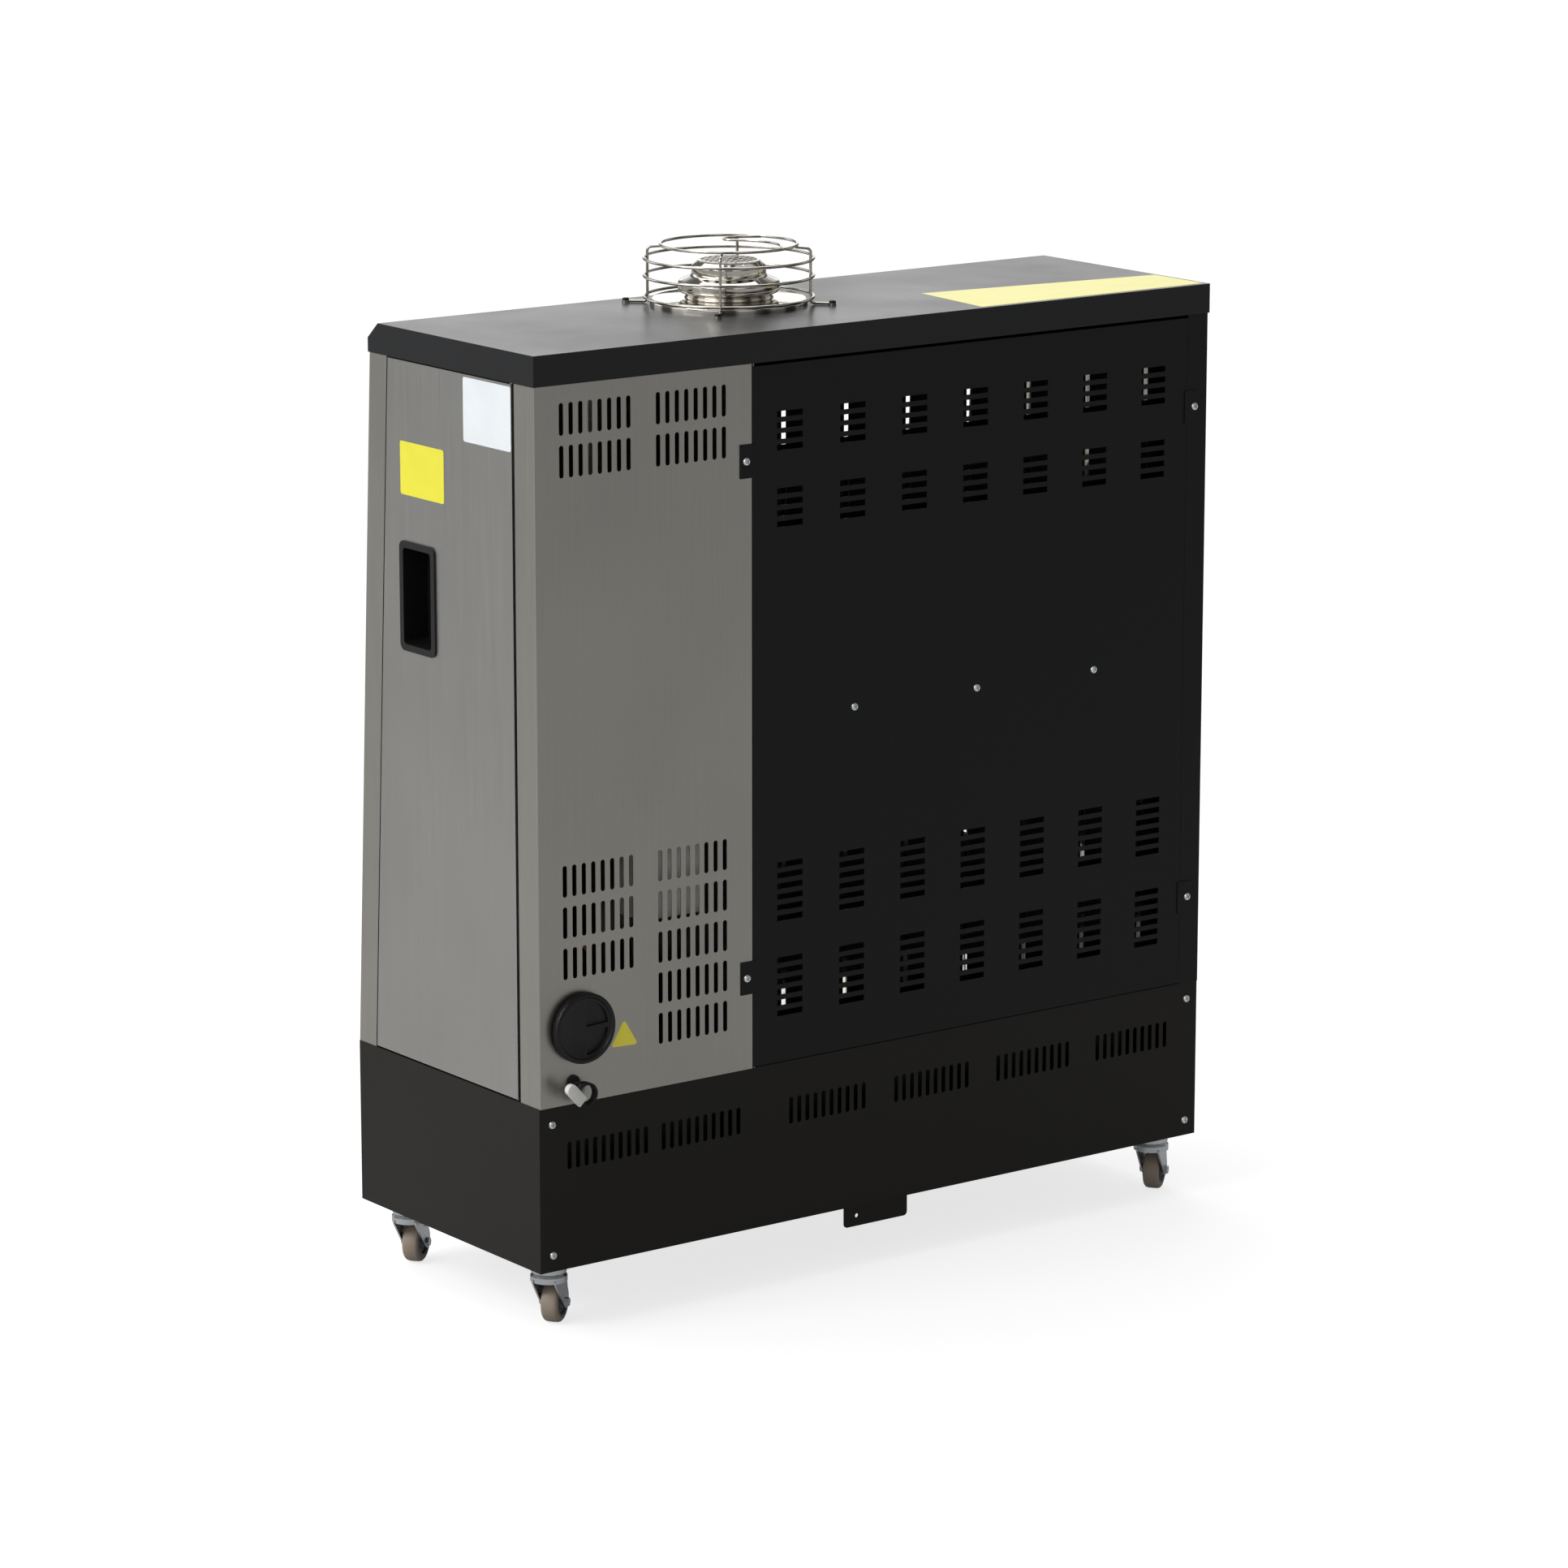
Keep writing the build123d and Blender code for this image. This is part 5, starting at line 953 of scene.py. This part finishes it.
def panel_screws():
    """Every screw of the back, set on its sheet."""
    places = [(x, REAR_Y, COVER_SCREW_Z) for x in COVER_SCREW_XS]
    places += [(x, REAR_Y + SHEET, z) for x in (TAB_SCREW_X, TAB_SCREW_FAR_X)
               for z in TAB_SCREW_ZS]
    places += [(side * BASE_SCREW_X, BASE_REAR_Y, z) for side in (-1, 1) for z in BASE_SCREW_ZS]
    mesh = bpy.data.meshes.new("places")
    mesh.from_pydata([mm(*p) for p in places], [], [])
    item = bpy.data.objects.new("places", mesh)
    shape = bpy.data.objects.new("screw", screw_shape())
    for thing in (item, shape):
        bpy.context.scene.collection.objects.link(thing)
    modifier = item.modifiers.new("screws", "NODES")
    modifier.node_group = screw_tree(screw_zinc_highlight)
    set_inputs(modifier, {"Screw": shape, "Size": 1.0})
    screws = evaluated(item)
    bpy.data.objects.remove(shape)
    piece("pan_head_screws", screws, screw_zinc_highlight, CABINET, "zinc", "panel_screws")


panel_screws()


# The flue outlet and its guard, with heights from the lid's top
DISC_R, DISC_H = 94.5, 8.0
DISH_R, DISH_Z, DISH_H = 61.0, 15.5, 13.0
COLLAR_R, COLLAR_Z, COLLAR_H = 44.7, 35.0, 12.0
NECK_R = 52.2
SPUN_WALL = 1.2
SPUN_EDGE = 4.5
GRATE_R, GRATE_Z = 34.0, 52.5
GRATE_PITCH = 9.0
GRATE_RIM = 4.0
STRIP_HALF = 1.1
STRIP_T = 1.1
STRIP_RISE = 0.2
STRIP_EDGE = 0.3
GUARD_WIRE_R = 1.75
GUARD_RING_R = 101.3
GUARD_TOP_R = 81.8
GUARD_RING_ZS = (9.3, 34.6, 55.5)
GUARD_TOP_Z = 71.8
GUARD_POST_Z = 2.0
GUARD_BEND = 5.0
GUARD_ANGLE = 48.0
GUARD_FOOT_R = 124.0
FLUE_PLACE = (FLUE_X, FLUE_Y, LID_TOP_Z)
# Outlines of a foot's eye and of its screw, as (r, z)
EYE = ((2.4, 0.05), (4.6, 0.05), (4.6, 3.0), (2.4, 3.0))
GUARD_SCREW = ((0, 3.0), (4.2, 3.0), (4.2, 4.6), (3.2, 5.8), (0, 6.2))
# The top wire's hooked end, as steps across the camera's view and away from the camera
VIEW_RIGHT = Vector((-0.802, 0.597))
VIEW_AWAY = Vector((-0.597, -0.802))
HOOK = ((62, -40), (64, -14), (54, 12), (38, 30), (16, 38), (-4, 40), (-8, 52), (2, 64), (20, 72),
        (38, 72))
HOOK_SHARE = 0.9
HOOK_DROP = 0.6


def flue_outlet():
    """Stepped outlet in polished spun sheet: disc, dish and collar with soft rolled edges."""
    steps = [(DISC_R, 0), (DISC_R, DISC_H), (NECK_R, DISC_H), (NECK_R, DISH_Z - 1.5),
             (DISH_R, DISH_Z), (DISH_R, DISH_Z + DISH_H), (COLLAR_R, COLLAR_Z),
             (COLLAR_R, COLLAR_Z + COLLAR_H), (GRATE_R + 3, GRATE_Z)]
    skin = rounded_path(steps, SPUN_EDGE, 7)
    under = []
    for i, point in enumerate(skin):
        way = (skin[min(i + 1, len(skin) - 1)] - skin[max(i - 1, 0)]).normalized()
        under.append(point + Vector((-way.y, way.x)) * SPUN_WALL)
    outline = [tuple(p) for p in skin] + [(r, max(z, 0.02)) for r, z in reversed(under)]
    piece("flue_outlet_spun", lathe(outline, FLUE_PLACE, 128), steel_bright, CABINET,
          "polished_steel", "chimney", sharp=50.0)


def outlet_grate():
    """Punched grate of crossing strips in the mouth of the outlet."""
    z = LID_TOP_Z + GRATE_Z
    high = z + STRIP_RISE
    parts = []
    for k in range(-3, 4):
        off = k * GRATE_PITCH
        x, y = FLUE_X + off, FLUE_Y + off
        reach = math.sqrt((GRATE_R + 2) ** 2 - off ** 2)
        parts.append(box_mesh(FLUE_X - reach, FLUE_X + reach, y - STRIP_HALF, y + STRIP_HALF,
                              z, z + STRIP_T, STRIP_EDGE))
        parts.append(box_mesh(x - STRIP_HALF, x + STRIP_HALF, FLUE_Y - reach, FLUE_Y + reach,
                              high, high + STRIP_T, STRIP_EDGE))
    outer = GRATE_R + GRATE_RIM
    parts.append(lathe([(GRATE_R, -0.2), (outer, -0.2), (outer, 1.2), (GRATE_R, 1.2)],
                       (FLUE_X, FLUE_Y, z), 96))
    piece("outlet_grate", joined(parts), steel_bright, CABINET, "polished_steel", "chimney_grate")


def wire_guard():
    """Four rings on four bent posts, with the hooked end of the top wire."""
    x, y, z0 = FLUE_PLACE
    parts = [wire(circle_points((x, y, z0 + z), GUARD_RING_R, 120), GUARD_WIRE_R, cyclic=True)
             for z in GUARD_RING_ZS]
    parts.append(wire(circle_points((x, y, z0 + GUARD_TOP_Z), GUARD_TOP_R, 110), GUARD_WIRE_R,
                      cyclic=True))
    post_r = GUARD_RING_R - 2 * GUARD_WIRE_R
    profile = rounded_path([(GUARD_FOOT_R - 3, GUARD_POST_Z), (post_r, GUARD_POST_Z),
                            (post_r, GUARD_TOP_Z - 4.5), (GUARD_TOP_R - 2, GUARD_TOP_Z - 3.2)],
                           GUARD_BEND, 6)
    heads = []
    for k in range(4):
        angle = math.radians(GUARD_ANGLE + 90 * k)
        across, along = math.cos(angle), math.sin(angle)
        foot = (x + GUARD_FOOT_R * across, y + GUARD_FOOT_R * along, z0)
        parts.append(wire([(x + r * across, y + r * along, z0 + z) for r, z in profile],
                          GUARD_WIRE_R))
        parts.append(lathe(EYE, foot, 24))
        heads.append(lathe(GUARD_SCREW, foot, 24))
    points = []
    for across, back in HOOK:
        spot = VIEW_RIGHT * across + VIEW_AWAY * back
        points.append((x + spot.x, y + spot.y, z0 + GUARD_TOP_Z - HOOK_DROP))
    parts.append(wire(points, GUARD_WIRE_R * HOOK_SHARE, smooth=True))
    piece("wire_guard_welded", joined(parts), steel_wire, CABINET, "polished_steel",
          "flue_guard", sharp=60.0)
    piece("guard_screws", joined(heads), plastic_black, CABINET, "black_paint")


flue_outlet()
outlet_grate()
wire_guard()


# The fuel cap, drawn face up and then turned to the rear
CAP_R = 42.0
CAP_H = 9.0
CAP_RIM = 5.5
CAP_DISH = 3.0
CAP_FLOOR = 2.6
CAP_EDGE = 0.5
CAP_PLUG_R = 24.0
CAP_PLUG_L = 22.0
CAP_PLUG_WALL = 2.6
GASKET_T = 2.4
WELL_R = CAP_R - CAP_RIM - 4.0
WELL_GAP = 0.04
WELL_SHARE = 0.93
WELL_SHIFT = 2.6
WELL_STEPS = 28


def well_outline(low, high):
    """A finger well between two angles, drawn in from the rim and from the bar beside it."""
    outline = [(0.0, 0.0)]
    for k in range(WELL_STEPS + 1):
        angle = low + (high - low) * k / WELL_STEPS
        outline.append((WELL_R * math.cos(angle), WELL_R * math.sin(angle)))
    middle = (low + high) / 2
    shift = Vector((math.cos(middle), math.sin(middle))) * WELL_SHIFT
    return [Vector(point) * WELL_SHARE + shift for point in outline]


def prism(bm, low, high):
    """The closed faces between two loops of vertices."""
    bm.faces.new(low)
    bm.faces.new(high)
    for k in range(len(low)):
        j = (k + 1) % len(low)
        bm.faces.new((low[k], low[j], high[j], high[k]))


def fuel_cap():
    """Moulded cap: a raised rim, a dished face and two finger wells beside its bar."""
    inner = CAP_R - CAP_RIM
    rim = [(0, 0), (CAP_R - 1.0, 0), (CAP_R, 1.0), (CAP_R, CAP_H - 2.2),
           (CAP_R - 0.7, CAP_H - 0.6), (CAP_R - 2.2, CAP_H), (inner + 1.2, CAP_H),
           (inner, CAP_H - 1.0), (inner - 0.6, CAP_H - 2.4), (0, CAP_H - CAP_DISH)]
    bm = bmesh.new()
    for angles in ((-math.pi / 2, -WELL_GAP), (WELL_GAP, math.pi / 2)):
        line = well_outline(*angles)
        prism(bm, [bm.verts.new(mm(p.x, p.y, CAP_FLOOR)) for p in line],
              [bm.verts.new(mm(p.x, p.y, CAP_H)) for p in line])
    cutter = bpy.data.objects.new("wells", mesh_of(bm))
    body = bpy.data.objects.new("cap", lathe(rim, (0, 0, 0), 96))
    for item in (cutter, body):
        bpy.context.scene.collection.objects.link(item)
    cut = body.modifiers.new("wells", "BOOLEAN")
    cut.operation = "DIFFERENCE"
    cut.solver = "EXACT"
    cut.object = cutter
    edge = body.modifiers.new("edge", "BEVEL")
    edge.width = CAP_EDGE * MM
    edge.segments = 2
    edge.limit_method = "ANGLE"
    edge.angle_limit = math.radians(50)
    shell = evaluated(body)
    bpy.data.objects.remove(cutter)
    bore = CAP_PLUG_R - CAP_PLUG_WALL
    plug = lathe([(bore, 0), (CAP_PLUG_R, 0), (CAP_PLUG_R, -CAP_PLUG_L + 1),
                  (CAP_PLUG_R - 1, -CAP_PLUG_L), (bore, -CAP_PLUG_L)], (0, 0, 0), 64)
    whole = joined([shell, plug])
    whole.transform(to_rear(CAP_X, REAR_Y + GASKET_T, CAP_Z))
    piece("fuel_cap_moulded", whole, plastic_black, "filler_cap", "black_plastic", "fuel_cap")


fuel_cap()


# Casters: tyre and hub of each wheel
WHEEL_R = 25.0
WHEEL_WIDTH = 22.7
TYRE_T = 7.0
AXLE_R = 3.0
TRAIL = 20.0
HEADING = math.degrees(math.atan2(0.594, 0.805))
CASTER_X = 461.0
CASTER_FRONT_Y = -150.8
CASTER_REAR_Y = 147.6
CASTERS = {"front_left": (CASTER_X, CASTER_FRONT_Y, HEADING),
           "front_right": (-CASTER_X, CASTER_FRONT_Y, 180 - HEADING),
           "rear_left": (CASTER_X, CASTER_REAR_Y, HEADING),
           "rear_right": (-CASTER_X, CASTER_REAR_Y, HEADING)}


def mirrored_outline(half):
    """An outline along an axle, from one side and its mirror."""
    return [(r, -x) for r, x in half] + [(r, x) for r, x in reversed(half) if x > 0]


def caster_wheels():
    """Polyurethane tyre with soft shoulders round a dished grey hub."""
    rim = WHEEL_R - TYRE_T
    h = WHEEL_WIDTH / 2 - 1
    tread = mirrored_outline([
        (rim, h), (WHEEL_R - 5, h), (WHEEL_R - 2.6, h - 0.5), (WHEEL_R - 0.9, h - 2.0),
        (WHEEL_R - 0.2, h - 4.2), (WHEEL_R, 0)])
    w = WHEEL_WIDTH / 2
    hub = mirrored_outline([
        (AXLE_R + 0.3, w), (7, w), (8.2, w - 1), (9.2, w - 4), (rim - 3.4, w - 4),
        (rim - 2.4, w - 0.8), (rim, w - 0.3)])
    for corner, (x, y, heading) in CASTERS.items():
        place = (Matrix.Translation(mm(x, y, 0)) @ Matrix.Rotation(math.radians(heading), 4, "Z")
                 @ Matrix.Translation(mm(-TRAIL, 0, WHEEL_R))
                 @ Matrix.Rotation(math.radians(90), 4, "X"))
        for part, outline, finish, replaced in (
                ("tyre", tread, tread_taupe, ("caster_wheel_" + corner,)),
                ("hub", hub, hub_grey, ())):
            mesh = lathe(outline, (0, 0, 0), 72)
            mesh.transform(place)
            piece(f"caster_{part}_{corner}", mesh, finish, "wheel_" + corner, "caster_wheel",
                  *replaced)


caster_wheels()


# Stickers, all bare
STICKER_T = 0.15
# Corners on the door, as (y, z), and on the lid and the panel, as (x, y) and (x, z)
DOOR_YELLOW = ((-90, 963.5), (2, 963.5), (2, 1026.5), (-90, 1026.5))
DOOR_WHITE = ((44, 1043), (141.4, 1043), (141.4, 1118), (44, 1118))
LID_PALE = ((-150, 183), (-163, 49), (-495, 91), (-495, 183))
PANEL_TRIANGLE = ((360.1, 336.3), (398.8, 337.7), (379.6, 368.8))


def sticker(name, corners, normal, material, body, radius=3.0):
    """A bare sticker with rounded corners, standing a hair proud of its sheet."""
    origin = Vector(corners[0])
    u_way = (Vector(corners[1]) - origin).normalized()
    out = Vector(normal)
    v_way = out.cross(u_way)
    flat = [((Vector(c) - origin).dot(u_way), (Vector(c) - origin).dot(v_way)) for c in corners]
    line = rounded_path(flat, radius, 6, closed=True)
    bm = bmesh.new()
    low = [bm.verts.new(mm(*(origin + u_way * p[0] + v_way * p[1]))) for p in line]
    prism(bm, low, [bm.verts.new(v.co + out * STICKER_T * MM) for v in low])
    piece(name, mesh_of(bm), material, body, "light_plastic")


sticker("door_sticker_yellow", [(DOOR_X, y, z) for y, z in DOOR_YELLOW], (1, 0, 0),
        vinyl_yellow, "door")
sticker("door_sticker_white", [(DOOR_X, y, z) for y, z in DOOR_WHITE], (1, 0, 0),
        vinyl_white, "door")
sticker("lid_sticker", [(x, y, LID_TOP_Z) for x, y in LID_PALE], (0, 0, 1),
        vinyl_pale, CABINET, 2.0)
sticker("panel_sticker", [(x, REAR_Y, z) for x, z in PANEL_TRIANGLE], (0, 1, 0),
        vinyl_triangle_lit, CABINET, 2.5)

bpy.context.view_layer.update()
scene = bpy.context.scene
scene.view_settings.view_transform = "Standard"
